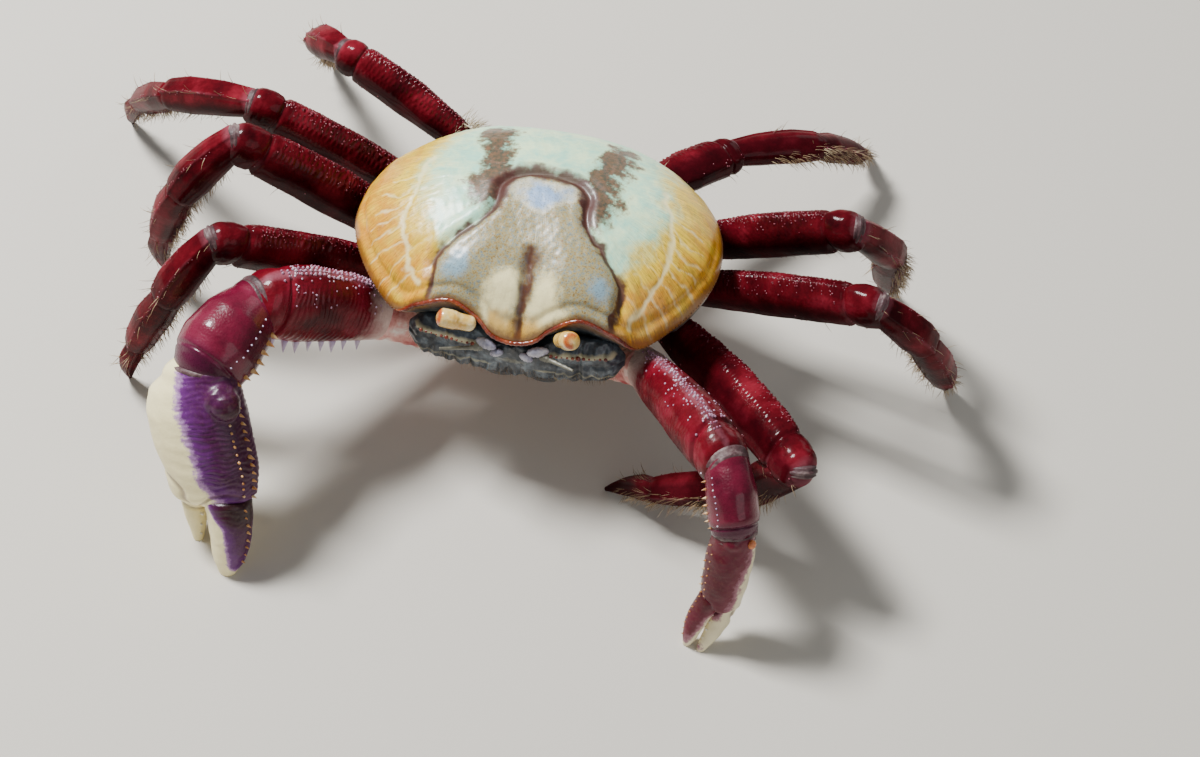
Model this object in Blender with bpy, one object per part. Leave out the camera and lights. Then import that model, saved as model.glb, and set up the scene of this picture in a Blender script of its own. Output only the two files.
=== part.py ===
# Mangrove land crab, adult male, life size, in a raised walking stance on eight legs and two claws.
# Faces -Y with its large claw on its own right side (-X). Metres, +Z up, the floor at z = 0.
import math

import bmesh
import bpy
from mathutils import Matrix, Vector

MM = 0.001
EAST, NORTH, UP = Vector((1, 0, 0)), Vector((0, 1, 0)), Vector((0, 0, 1))
GAP = 0.0003                      # clearance between neighbouring plates

CARAPACE_TOP = 61.5 * MM          # top of the shell above the floor
CARAPACE_FLOOR = 37.5 * MM        # underside of the shell
THORAX_FLOOR = 14.0 * MM          # sternum above the floor
CARAPACE_CENTRE = Vector((0.0, 5.0 * MM))
CARAPACE_SIDES = 52
ORBIT_DEPTH = 0.14                # how far the front is hollowed, as a share of the half length
LIMB_SIDES = 10

# Upper rim of one half of the carapace, from the tip of the front round to the rear, in mm.
RIM = (
    (0.0, -27.5, 42.5), (4.5, -27.0, 43.5), (8.0, -25.5, 46.5), (14.0, -24.5, 49.5), (21.0, -24.5, 46.5),
    (26.5, -23.0, 42.0), (33.0, -17.0, 43.5), (38.3, -8.0, 45.0), (40.0, 1.0, 45.0), (38.0, 12.5, 43.5),
    (32.5, 21.5, 41.5), (24.5, 28.0, 40.5), (15.0, 31.5, 40.0), (0.0, 32.5, 40.0),
)

# Walking legs: start of the merus, knee, end of the carpus, end of the propodus, tip of the dactylus, in mm.
LEGS = {
    "leg_r1": ((-28.5, 4, 23), (-66.5, -20.5, 53.5), (-76.5, -26, 36), (-85, -24, 16.5), (-89, -20, 0)),
    "leg_r2": ((-29, 14, 22), (-68.5, 6.5, 56), (-81, 1, 40), (-87.5, 6, 20), (-90, 13.5, 0)),
    "leg_r3": ((-27, 25, 24), (-69.5, 24.5, 47.5), (-90, 32, 38), (-104.5, 47, 18), (-110.5, 57, 0)),
    "leg_r4": ((-22.5, 36, 33), (-54.5, 48.5, 43.5), (-63, 59, 35), (-66, 72, 19), (-68, 86, 0)),
    "leg_l1": ((28.5, 1.5, 24), (64.5, -42, 34), (54, -37, 18), (33, -34, 9), (22, -29, 0)),
    "leg_l2": ((28.5, 10.5, 26), (75, -5.5, 47.5), (86, -2, 34), (91, 8, 12), (92, 16, 0)),
    "leg_l3": ((27, 22.5, 26), (67.5, 12, 51.5), (75.5, 23, 33), (75, 34, 12), (76, 42, 0)),
    "leg_l4": ((18.5, 34.5, 29), (35, 53.5, 25.5), (54, 63.5, 22), (63, 73, 12), (65, 84, 0)),
}
# Middle of the leg's own root on the thorax, in mm, for each pair from front to rear.
LEG_ROOTS = ((19, 1, 20), (20, 9.5, 21), (19, 19.5, 22), (13, 27, 25))

# Each limb piece as (place along it, half height, half thickness), the last two in mm.
MERUS = ((0, 3.6, 2.9), (0.16, 4.6, 3.4), (0.5, 5.8, 3.9), (0.86, 5.6, 4.1), (0.93, 5.0, 3.8), (1, 4.9, 4.0))
CARPUS = ((0.0, 3.7, 3.3), (0.3, 4.3, 3.7), (0.72, 4.9, 4.0), (1.0, 4.2, 3.6))
PROPODUS = ((0.0, 3.6, 3.0), (0.3, 4.2, 3.3), (0.8, 3.7, 2.8), (1.0, 3.1, 2.4))
DACTYLUS = ((0.0, 2.7, 2.1), (0.25, 2.8, 2.0), (0.6, 1.9, 1.5), (0.88, 1.0, 0.9), (1.0, 0.6, 0.6))
COXA = ((0.0, 3.6, 3.2), (0.5, 4.0, 3.5), (1.0, 3.4, 2.9))
SCALE_OF_PAIR = (1.0, 1.0, 0.96, 0.88)
LEG_ROLL = (0.0, 15.0, 28.0, 40.0)   # degrees that the front face of each pair's legs leans up

CLAWS = {
    "claw_r": {
        "root": (-17.5, -10, 23), "merus": (-31.5, -14.5, 28.5), "wrist": (-54, -26.5, 46),
        "palm": (-62.5, -45, 39.5), "hinge": (-60, -64.7, 19.5), "tip": (-52.4, -68.6, 0),
        "pollex": (-62.2, -60.4, 0),
        "sections": {
            "coxa": ((0.0, 5.5, 4.5), (1.0, 5.5, 4.5)),
            "merus": ((0.0, 5.6, 4.4), (0.3, 7.6, 5.8), (0.7, 9.0, 6.6), (0.92, 8.6, 6.6), (1.0, 7.2, 6.0)),
            "carpus": ((0.0, 6.2, 6.0), (0.3, 8.6, 8.2), (0.65, 9.4, 9.0), (0.9, 8.6, 8.0), (1.0, 7.4, 7.0)),
            "palm": ((0, 10.5, 6.4), (0.2, 12.4, 8.0), (0.45, 13.3, 8.8), (0.75, 13.0, 8.2), (1, 12.2, 6.8)),
            "pollex": ((0.0, 5.2, 5.0), (0.45, 4.0, 3.8), (0.8, 2.6, 2.4), (1.0, 1.2, 1.2)),
            "dactyl": ((0.0, 5.9, 5.0), (0.3, 5.8, 4.4), (0.65, 4.4, 3.5), (0.88, 2.6, 2.2), (1.0, 1.2, 1.2)),
        },
        "face": (-0.36, -0.62, 0.70),
    },
    "claw_l": {
        "root": (15.5, -11, 23.5), "merus": (27, -17.5, 30), "wrist": (50.5, -46.5, 38.5), "palm": (54, -57, 29),
        "hinge": (51.5, -63.5, 15), "tip": (46.5, -66, 0), "pollex": (49.5, -67, 0),
        "sections": {
            "coxa": ((0.0, 4.8, 4.2), (1.0, 4.8, 4.2)),
            "merus": ((0.0, 5.0, 4.2), (0.3, 6.4, 5.0), (0.7, 7.4, 5.6), (0.9, 7.4, 5.8), (1.0, 6.0, 5.2)),
            "carpus": ((0.0, 5.2, 4.8), (0.4, 6.4, 5.6), (0.8, 6.4, 5.6), (1.0, 5.4, 4.8)),
            "palm": ((0.0, 5.6, 4.6), (0.35, 7.1, 5.2), (0.75, 7.1, 5.0), (1.0, 6.3, 4.4)),
            "pollex": ((0.0, 3.9, 3.4), (0.5, 3.3, 2.7), (1.0, 1.0, 1.0)),
            "dactyl": ((0.0, 3.6, 3.2), (0.5, 2.8, 2.5), (1.0, 1.0, 1.0)),
        },
        "face": (0.50, -0.55, 0.67),
    },
}

# Base and tip of each eyestalk, and root, bend and tip of each antenna, in mm.
EYES = {"r": ((-9, -25.6, 43), (-18.5, -26.6, 45.5)), "l": ((7.5, -25.4, 42), (9.5, -29, 46))}
ANTENNAE = {
    "r": ((-6.5, -27.2, 39.5), (-9, -28.4, 39.8), (-15, -30.5, 40.5)),
    "l": ((6.5, -27.2, 39.5), (9, -28.4, 39.8), (14, -31, 41)),
}

FINISHES = {                      # base colour, roughness
    "carapace": ((0.62, 0.60, 0.42), 0.3),
    "thorax": ((0.55, 0.42, 0.33), 0.45),
    "mouth": ((0.22, 0.12, 0.10), 0.5),
    "eye": ((0.80, 0.62, 0.30), 0.25),
    "leg": ((0.10, 0.008, 0.014), 0.3),
    "claw": ((0.22, 0.03, 0.07), 0.3),
    "hand": ((0.75, 0.70, 0.62), 0.3),
}


def mm(point):
    return Vector(point) * MM


def clearScene():
    for item in list(bpy.data.objects):
        bpy.data.objects.remove(item, do_unlink=True)


def finish(name):
    material = bpy.data.materials.get(name)
    if material is None:
        colour, roughness = FINISHES[name]
        material = bpy.data.materials.new(name)
        material.use_nodes = True
        shader = material.node_tree.nodes["Principled BSDF"]
        shader.inputs["Base Color"].default_value = (*colour, 1.0)
        shader.inputs["Roughness"].default_value = roughness
        shader.inputs["Metallic"].default_value = 0.0
    return material


def addNode(name, mesh, look):
    """Put a finished bmesh in the crab's collection as one named node."""
    bmesh.ops.triangulate(mesh, faces=[face for face in mesh.faces if len(face.verts) > 4])
    bmesh.ops.recalc_face_normals(mesh, faces=mesh.faces)
    data = bpy.data.meshes.new(name)
    mesh.to_mesh(data)
    mesh.free()
    data.materials.append(finish(look))
    data.shade_smooth()
    data.set_sharp_from_angle(angle=math.radians(50))
    node = bpy.data.objects.new(name, data)
    crab.objects.link(node)
    return node


def addGuide(name, mesh):
    """A hidden body that only cuts or joins another."""
    guide = addNode(name, mesh, "thorax")
    crab.objects.unlink(guide)
    guides.objects.link(guide)
    guide.hide_render = True
    guide.display_type = "WIRE"
    return guide


def loft(rings):
    """A closed body through rings of equal count; a ring of one point is a pole."""
    mesh = bmesh.new()
    loops = [[mesh.verts.new(point) for point in ring] for ring in rings]
    for lower, upper in zip(loops, loops[1:]):
        count = max(len(lower), len(upper))
        for i in range(count):
            j = (i + 1) % count
            corners = [lower[k % len(lower)] for k in (i, j)] + [upper[k % len(upper)] for k in (j, i)]
            mesh.faces.new(list(dict.fromkeys(corners)))
    for end in (loops[0], loops[-1]):
        if len(end) > 1:
            mesh.faces.new(end)
    return mesh


def oval(centre, tall, wide, half_height, half_width, sides=LIMB_SIDES):
    turns = [2.0 * math.pi * i / sides for i in range(sides)]
    return [centre + tall * (half_height * math.cos(a)) + wide * (half_width * math.sin(a)) for a in turns]


def cutAway(mesh, point, normal):
    """Remove what lies beyond a plane and close the cut."""
    geometry = mesh.verts[:] + mesh.edges[:] + mesh.faces[:]
    bmesh.ops.bisect_plane(mesh, geom=geometry, dist=1e-7, plane_co=point, plane_no=normal, clear_outer=True)
    rim = [edge for edge in mesh.edges if edge.is_boundary]
    if rim:
        bmesh.ops.contextual_create(mesh, geom=rim)
    bmesh.ops.remove_doubles(mesh, verts=mesh.verts, dist=0.02 * MM)


def flattenFoot(mesh):
    """Cut a toe or finger tip level with the floor, so that it stands on a small flat."""
    cutAway(mesh, Vector((0, 0, 0)), Vector((0, 0, -1)))


def readSections(sections, place):
    """Half height and half thickness at a place along a piece, held constant past its ends."""
    if place <= sections[0][0]:
        return sections[0][1:]
    for low, high in zip(sections, sections[1:]):
        if place <= high[0]:
            share = (place - low[0]) / (high[0] - low[0])
            return tuple(a + (b - a) * share for a, b in zip(low[1:], high[1:]))
    return sections[-1][1:]


def limbPiece(start, end, sections, side, scale=1.0, bow=0.0, start_dome=0.8, end_dome=0.8, sides=LIMB_SIDES):
    """An oval loft from start to end with domed ends; side is the direction of its thickness."""
    along = (end - start).normalized()
    length = (end - start).length
    wide = (side - along * side.dot(along)).normalized()
    tall = wide.cross(along)
    if tall.z < 0:
        tall = -tall
    rings = []

    def addRing(distance, share):
        high, thick = readSections(sections, distance / length)
        arch = bow * 4.0 * max(0.0, distance * (length - distance)) / length ** 2
        centre = start + along * distance + tall * arch
        rings.append(oval(centre, tall, wide, high * share * scale * MM, thick * share * scale * MM, sides))

    first = sections[0][1] * MM * scale * start_dome
    last = sections[-1][1] * MM * scale * end_dome
    if start_dome:
        rings.append([start - along * first])
        addRing(-first * 0.72, 0.66)
    for place, *_ in sections:
        addRing(place * length, 1.0)
    if end_dome:
        addRing(length + last * 0.72, 0.66)
        rings.append([end + along * last])
    return loft(rings)


def trimJoint(mesh, joint, arriving, leaving, keep_first):
    """Cut a piece on the plane that halves a bend, half a gap short of it."""
    normal = (arriving + leaving).normalized()
    if keep_first:
        cutAway(mesh, joint - normal * GAP / 2, normal)
    else:
        cutAway(mesh, joint + normal * GAP / 2, -normal)


def rimCurve(count):
    """Points evenly spread by angle round the whole rim, on a smooth closed curve."""
    half = [Vector(point) for point in RIM]
    other = [Vector((-p.x, p.y, p.z)) for p in reversed(half[1:-1])]
    knots = half + other
    fine = []
    steps = 24
    for i in range(len(knots)):
        a, b, c, d = (knots[(i + k) % len(knots)] for k in (-1, 0, 1, 2))
        for step in range(steps):
            t = step / steps
            fine.append(0.5 * ((2 * b) + (c - a) * t + (2 * a - 5 * b + 4 * c - d) * t * t
                               + (3 * b - a - 3 * c + d) * t ** 3))
    middle = CARAPACE_CENTRE / MM
    angles = [math.atan2(p.y - middle.y, p.x - middle.x) for p in fine]
    ring = []
    for i in range(count):
        wanted = 2.0 * math.pi * (i + 0.5) / count - math.pi
        nearest = min(range(len(fine)), key=lambda k: abs(math.remainder(angles[k] - wanted, 2 * math.pi)))
        ring.append(fine[nearest] * MM)
    return ring


def addCarapace():
    """A domed shell over the rim, with the orbits hollowed under its front edge."""
    rim = rimCurve(CARAPACE_SIDES)
    middle = Vector((*CARAPACE_CENTRE, 0.0))

    def level(reach, lift):
        return [Vector((*(middle + (p - middle) * reach(p)).xy, lift(p))) for p in rim]

    def underside(p):
        front = max(0.0, (-p.y / MM - 14.0) / 14.0)
        return 0.93 - ORBIT_DEPTH * min(1.0, front * 1.4)

    rings = [[Vector((*CARAPACE_CENTRE, CARAPACE_TOP))]]
    for reach in (0.2, 0.4, 0.58, 0.73, 0.85, 0.93, 0.98, 1.0):
        swell = (1.0 - reach ** 2.3) ** 0.68
        rings.append(level(lambda p: reach, lambda p: p.z + (CARAPACE_TOP - p.z) * swell))
    rings.append(level(lambda p: 0.985, lambda p: p.z - 1.5 * MM))
    rings.append(level(underside, lambda p: p.z + (CARAPACE_FLOOR - p.z) * 0.6))
    rings.append(level(lambda p: underside(p) - 0.01, lambda p: CARAPACE_FLOOR))
    rings.append([Vector((*CARAPACE_CENTRE, CARAPACE_FLOOR))])
    addNode("carapace", loft(rings), "carapace")


def thoraxMesh(grow):
    """The trunk under the shell: broad flanks above, narrowing to the sternum."""
    levels = (                    # height, half width, front, rear, in mm
        (THORAX_FLOOR / MM, 15.0, -10.0, 22.0),
        (18.0, 19.5, -13.5, 26.0),
        (24.0, 22.0, -18.5, 30.0),
        (31.0, 29.0, -21.8, 31.0),
        (CARAPACE_FLOOR / MM - 0.3, 35.0, -22.5, 31.0),
    )
    rings = []
    for index, (height, half, front, rear) in enumerate(levels):
        lift = grow * (-1 if index == 0 else 1 if index == len(levels) - 1 else 0)
        ring = []
        for i in range(28):
            a = 2.0 * math.pi * i / 28
            x = (half + grow) * math.copysign(abs(math.cos(a)) ** 0.8, math.cos(a))
            y = math.copysign(abs(math.sin(a)) ** 0.8, math.sin(a))
            y = (front + rear) / 2 + y * ((rear - front) / 2 + grow)
            ring.append(mm((x, y, height + lift)))
        rings.append(ring)
    return loft(rings)


def addAbdomen():
    """The male's narrow tail flap, folded flat under the sternum."""
    rings = []
    for y, half in ((-7.0, 2.2), (-3.0, 4.0), (8.0, 5.0), (14.0, 8.5), (20.0, 9.5)):
        rings.append(oval(mm((0.0, y, THORAX_FLOOR / MM - 1.4)), UP, EAST, 1.0 * MM, half * MM, 12))
    addNode("abdomen", loft(rings), "thorax")


def clearThorax(node, cutter):
    cut = node.modifiers.new("clear_of_thorax", "BOOLEAN")
    cut.operation = "DIFFERENCE"
    cut.solver = "EXACT"
    cut.object = cutter


def addFace(cutter):
    """The plate between the orbits and the mouth, bowed round the front of the trunk."""
    rings = []
    for x in (-20.5, -19, -15, -10, -5, 0, 5, 10, 15, 19, 20.5):
        back = (x / 27) ** 2
        tall = min(4.4 - 2.6 * back, 1.2 + 0.8 * (20.5 - abs(x)))
        rings.append(oval(mm((x, -24.0 + 3.5 * back, 35.2)), UP, NORTH, tall * MM,
                          min(3.0, 21.5 - abs(x)) * MM, 8))
    for ring in rings:
        for point in ring:
            point.z = min(point.z, CARAPACE_FLOOR - GAP)
    clearThorax(addNode("face", loft(rings), "mouth"), cutter)


def addMouth(sign, cutter):
    """One outer mouthpart: a long flat plate that covers half the mouth."""
    side = "l" if sign > 0 else "r"
    rings = []
    for y, z, half in ((-12.4, 16.8, 2.6), (-15.2, 19.5, 3.9), (-19.2, 24.0, 4.6), (-21.8, 28.0, 4.2),
                       (-22.8, 30.4, 3.0)):
        rings.append(oval(mm((sign * 4.9, y, z)), NORTH, EAST, 1.5 * MM, half * MM, 10))
    clearThorax(addNode("maxilliped_" + side, loft(rings), "mouth"), cutter)


def addEye(side, base, tip):
    """A thick stalk that ends in a rounded eye."""
    shape = ((0.0, 1.5, 1.5), (0.45, 1.6, 1.6), (0.7, 2.1, 2.0), (1.0, 2.0, 1.9))
    mesh = limbPiece(mm(base), mm(tip), shape, Vector((0, 1, 0.4)), sides=12)
    addNode("eye_" + side, mesh, "eye")


def addAntenna(side, points):
    base, bend, tip = (mm(point) for point in points)
    way = (tip - bend).normalized()
    rings = [[base]]
    for place, size in ((base.lerp(bend, 0.15), 0.9), (base.lerp(bend, 0.8), 0.9), (bend, 0.5), (tip, 0.3)):
        rings.append(oval(place, UP, way.cross(UP).normalized(), size * MM, size * MM, 8))
    addNode("antenna_" + side, loft(rings), "mouth")


def addCoxa(name, root, start, onward, side, sections, scale, cutter):
    """The short root of a limb, from inside the trunk's flank to the start of the merus."""
    mesh = limbPiece(root, start, sections, side, scale)
    trimJoint(mesh, start, (start - root).normalized(), onward, True)
    clearThorax(addNode(name, mesh, "leg"), cutter)


def leanUp(side, axis, degrees):
    """Turn a sideways direction about a limb's axis until it leans upwards."""
    turned = [Matrix.Rotation(math.radians(sign * degrees), 3, axis) @ side for sign in (-1, 1)]
    return max(turned, key=lambda way: way.z)


def addLeg(name, pair, cutter):
    points = [mm(point) for point in LEGS[name]]
    root = mm(LEG_ROOTS[pair])
    if points[0].x < 0:
        root.x = -root.x
    scale = SCALE_OF_PAIR[pair]
    joints = [root] + points
    ways = [(b - a).normalized() for a, b in zip(joints, joints[1:])]
    side = (points[1] - points[0]).cross(points[3] - points[1]).normalized()
    if side.y > 0:
        side = -side
    side = leanUp(side, ways[1], LEG_ROLL[pair])
    addCoxa(name + "_coxa", root, points[0], ways[1], side, COXA, scale, cutter)
    kinds = (("merus", MERUS, 0.0008), ("carpus", CARPUS, 0.0006), ("propodus", PROPODUS, 0.0004),
             ("dactylus", DACTYLUS, 0.0008))
    for index, (kind, sections, bow) in enumerate(kinds, start=1):
        last = kind == "dactylus"
        end_dome = 1.0 if last else 0.8
        mesh = limbPiece(joints[index], joints[index + 1], sections, side, scale, bow, end_dome=end_dome)
        trimJoint(mesh, joints[index], ways[index - 1], ways[index], False)
        if last:
            flattenFoot(mesh)
        else:
            trimJoint(mesh, joints[index + 1], ways[index], ways[index + 1], True)
        addNode(name + "_" + kind, mesh, "leg")


def addClaw(name, cutter):
    claw = CLAWS[name]
    root, merus, wrist, palm, hinge, tip, pollex = (
        mm(claw[key]) for key in ("root", "merus", "wrist", "palm", "hinge", "tip", "pollex"))
    outer = Vector(claw["face"]).normalized()
    shapes = claw["sections"]
    to_merus = (merus - root).normalized()
    to_wrist = (wrist - merus).normalized()
    to_palm = (palm - wrist).normalized()
    to_hinge = (hinge - palm).normalized()
    side = to_merus.cross(to_wrist).cross(to_wrist).normalized()
    addCoxa(name + "_coxa", root, merus, to_wrist, side, shapes["coxa"], 1.0, cutter)

    mesh = limbPiece(merus, wrist, shapes["merus"], to_wrist.cross(UP), bow=0.0015, sides=14)
    trimJoint(mesh, merus, to_merus, to_wrist, False)
    trimJoint(mesh, wrist, to_wrist, to_palm, True)
    addNode(name + "_merus", mesh, "claw")

    mesh = limbPiece(wrist, palm, shapes["carpus"], to_palm.cross(UP), bow=0.001, sides=14)
    trimJoint(mesh, wrist, to_wrist, to_palm, False)
    trimJoint(mesh, palm, to_palm, to_hinge, True)
    addNode(name + "_carpus", mesh, "claw")

    addHand(name, palm, hinge, tip, pollex, outer, to_palm, to_hinge, shapes)


def addHand(name, palm, hinge, tip, pollex, outer, to_palm, to_hinge, shapes):
    """Palm with its fixed finger as one piece, and the free finger hinged beside it."""
    between = ((tip + pollex) / 2 - hinge).normalized().cross(outer).normalized()
    if between.dot(tip - pollex) < 0:
        between = -between
    spread = between * shapes["palm"][-1][1] * 0.5 * MM

    mesh = limbPiece(palm, hinge, shapes["palm"], outer, bow=0.001, end_dome=0.0, sides=16)
    trimJoint(mesh, palm, to_palm, to_hinge, False)
    hand = addNode(name + "_palm", mesh, "hand")
    inside = hinge - spread - to_hinge * 2 * MM
    finger = limbPiece(inside, pollex, shapes["pollex"], outer, bow=0.002, sides=14)
    cutAway(finger, hinge - between * GAP / 2, between)
    flattenFoot(finger)
    fixed = addGuide(name + "_pollex", finger)
    join = hand.modifiers.new("fixed_finger", "BOOLEAN")
    join.operation = "UNION"
    join.solver = "EXACT"
    join.object = fixed

    finger = limbPiece(hinge + spread, tip, shapes["dactyl"], outer, bow=0.002, start_dome=0.0, sides=14)
    cutAway(finger, hinge + to_hinge * GAP, -to_hinge)
    cutAway(finger, hinge + between * GAP / 2, -between)
    flattenFoot(finger)
    addNode(name + "_dactyl", finger, "hand")


def placeOnOrigin():
    """Move the whole crab so that the middle of its box on the floor is the origin."""
    depsgraph = bpy.context.evaluated_depsgraph_get()
    corners = [Vector(corner) for node in crab.objects for corner in node.evaluated_get(depsgraph).bound_box]
    low = Vector(min(corner[axis] for corner in corners) for axis in range(3))
    high = Vector(max(corner[axis] for corner in corners) for axis in range(3))
    shift = Matrix.Translation(-Vector(((low.x + high.x) / 2, (low.y + high.y) / 2, low.z)))
    for node in list(crab.objects) + list(guides.objects):
        node.data.transform(shift)


clearScene()
crab = bpy.data.collections.new("land_crab")
guides = bpy.data.collections.new("cutters")
bpy.context.scene.collection.children.link(crab)
bpy.context.scene.collection.children.link(guides)
addCarapace()
addNode("thorax", thoraxMesh(0.0), "thorax")
cutter = addGuide("thorax_cutter", thoraxMesh(GAP / MM))
addAbdomen()
addFace(cutter)
for mouth_side in (-1, 1):
    addMouth(mouth_side, cutter)
addEye("r", *EYES["r"])
addEye("l", *EYES["l"])
for antenna_side, route in ANTENNAE.items():
    addAntenna(antenna_side, route)
for order, leg in enumerate(LEGS):
    addLeg(leg, order % 4, cutter)
for claw_name in CLAWS:
    addClaw(claw_name, cutter)
placeOnOrigin()
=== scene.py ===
import math

import bpy
import numpy as np
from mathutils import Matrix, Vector, kdtree


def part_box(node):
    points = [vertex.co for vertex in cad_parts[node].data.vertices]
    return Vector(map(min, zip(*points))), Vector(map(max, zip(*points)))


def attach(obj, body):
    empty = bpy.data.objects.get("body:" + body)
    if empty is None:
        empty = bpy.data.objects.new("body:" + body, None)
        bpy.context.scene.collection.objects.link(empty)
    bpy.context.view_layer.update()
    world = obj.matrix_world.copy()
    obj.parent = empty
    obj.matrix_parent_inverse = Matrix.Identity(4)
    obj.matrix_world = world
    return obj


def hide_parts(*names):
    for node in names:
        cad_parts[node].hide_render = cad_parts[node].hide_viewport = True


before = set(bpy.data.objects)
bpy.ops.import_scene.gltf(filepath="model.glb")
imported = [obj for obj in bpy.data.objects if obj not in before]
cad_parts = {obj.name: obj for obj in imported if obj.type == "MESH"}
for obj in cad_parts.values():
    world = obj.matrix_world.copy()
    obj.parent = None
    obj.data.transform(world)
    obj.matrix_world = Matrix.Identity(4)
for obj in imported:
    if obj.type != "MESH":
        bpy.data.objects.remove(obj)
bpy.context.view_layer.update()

mm = 0.001
trunkLow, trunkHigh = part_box("thorax")
trunkFront = 22.5 * mm  # from the thorax's front face to the middle of the shell
crabOrigin = np.array(((trunkLow.x + trunkHigh.x) / 2, trunkLow.y + trunkFront, 0.0))  # floor point under the shell
straightUp = np.array((0.0, 0.0, 1.0))
forwardWay = np.array((0.0, 1.0, 0.0))
wholeTurn = 2 * math.pi


# nodes: a node given as a value stands for its first live output

def feed(node, inputs):
    for key, value in inputs.items():
        if isinstance(value, bpy.types.Node):
            value = next(socket for socket in value.outputs if socket.enabled)
        if isinstance(value, bpy.types.NodeSocket):
            node.id_data.links.new(value, node.inputs[key])
        else:
            node.inputs[key].default_value = value
    return node


def add(tree, kind, inputs={}, stops=(), **settings):
    node = tree.nodes.new(kind)
    for name, value in settings.items():
        setattr(node, name, value)
    for index, (spot, value) in enumerate(stops):  # a ramp's stops are grey values or hex codes
        elements = node.color_ramp.elements
        element = elements[index] if index < 2 else elements.new(spot)
        element.position = spot
        element.color = hue(value) if isinstance(value, str) else (value, value, value, 1)
    return feed(node, inputs)


def hue(code):  # sRGB hex to the linear colour that a shader takes
    channels = [int(code[i:i + 2], 16) / 255 for i in (1, 3, 5)]
    return tuple(c / 12.92 if c <= 0.04045 else ((c + 0.055) / 1.055) ** 2.4 for c in channels) + (1.0,)


def newMaterial(name):
    material = bpy.data.materials.new(name)
    material.use_nodes = True
    return material, material.node_tree, material.node_tree.nodes["Principled BSDF"]


# meshes: a grid is rows of closed rings with a pole at each end

def unit(vector):
    vector = np.asarray(vector, float)
    return vector / np.linalg.norm(vector, axis=-1, keepdims=True)


def crabPoint(x, y, z):  # a place on the crab in mm, from the floor under the shell's middle
    return crabOrigin + np.array((x, y, z)) * mm


def turnOf(sides):
    return np.linspace(0, wholeTurn, sides, endpoint=False)


def newObject(name, mesh):
    piece = bpy.data.objects.new(name, mesh)
    bpy.context.scene.collection.objects.link(piece)
    return piece


def vertexValues(mesh, what="co"):
    flat = np.empty(len(mesh.vertices) * 3, np.float32)
    mesh.vertices.foreach_get(what, flat)
    return flat.reshape(-1, 3).astype(float)


def setMark(mesh, name, values):  # one number or one vector for each vertex, kept as the mesh's own attribute
    values = np.asarray(values, np.float32)
    kind, field = ("FLOAT_VECTOR", "vector") if values.ndim == 2 else ("FLOAT", "value")
    mesh.attributes.new(name, kind, "POINT").data.foreach_set(field, values.ravel())


def dropMarks(mesh, names):
    for name in [layer.name for layer in mesh.attributes if layer.name in names]:
        mesh.attributes.remove(mesh.attributes[name])


def meshOf(host):  # the mesh that a host and its modifiers give
    bpy.context.view_layer.update()
    mesh = bpy.data.meshes.new_from_object(host.evaluated_get(bpy.context.evaluated_depsgraph_get()))
    bpy.data.objects.remove(host)
    return mesh


def signedVolume(verts, corners):
    return np.einsum("ij,ij->i", verts[corners[:, 0]], np.cross(verts[corners[:, 1]], verts[corners[:, 2]])).sum()


def gridPart(points, marks={}):  # places, quads, end fans and marks of one closed grid
    rows, cols = points.shape[:2]
    capped = [values[0].mean(0)[None] for values in (points, points[::-1])]
    verts = np.concatenate([capped[0], points.reshape(-1, 3), capped[1]])
    lower = (1 + np.arange(rows - 1)[:, None] * cols + np.arange(cols)[None])
    after = (1 + np.arange(rows - 1)[:, None] * cols + (np.arange(cols)[None] + 1) % cols)
    quads = np.stack([lower, after, after + cols, lower + cols], -1).reshape(-1, 4)
    around = np.arange(cols)
    last = 1 + (rows - 1) * cols
    fans = np.concatenate([np.stack([np.zeros(cols, int), 1 + (around + 1) % cols, 1 + around], -1),
                           np.stack([np.full(cols, last + cols), last + around, last + (around + 1) % cols], -1)])
    flat = {}
    for name, values in marks.items():
        values = np.broadcast_to(values, (rows, cols) + np.shape(values)[2:])
        body = values.reshape((-1,) + values.shape[2:])
        flat[name] = np.concatenate([values[0].mean(0)[None], body, values[-1].mean(0)[None]])
    if signedVolume(verts, fans) + signedVolume(verts, quads[:, :3]) + signedVolume(verts, quads[:, (0, 2, 3)]) < 0:
        quads, fans = quads[:, ::-1], fans[:, ::-1]
    return verts, quads, fans, flat


def makePiece(name, parts, look):  # one object from a few grids, in a material by its key
    verts = np.concatenate([part[0] for part in parts])
    starts = np.cumsum([0] + [len(part[0]) for part in parts])
    quads, fans = (np.concatenate([part[k] + start for part, start in zip(parts, starts)]) for k in (1, 2))
    mesh = bpy.data.meshes.new(name)
    mesh.vertices.add(len(verts))
    mesh.vertices.foreach_set("co", verts.astype(np.float32).ravel())
    mesh.loops.add(quads.size + fans.size)
    mesh.loops.foreach_set("vertex_index", np.concatenate([quads.ravel(), fans.ravel()]).astype(np.int32))
    mesh.polygons.add(len(quads) + len(fans))
    begin = np.concatenate([np.arange(len(quads)) * 4, quads.size + np.arange(len(fans)) * 3])
    mesh.polygons.foreach_set("loop_start", begin.astype(np.int32))
    mesh.update(calc_edges=True)
    mesh.validate()
    mesh.shade_smooth()
    for mark in parts[0][3]:
        setMark(mesh, mark, np.concatenate([part[3][mark] for part in parts]))
    mesh.materials.append(materials[look])
    return newObject(name, mesh)


def standFor(piece, slot, *nodes):
    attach(piece, "root")
    if nodes:
        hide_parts(*nodes)


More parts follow.
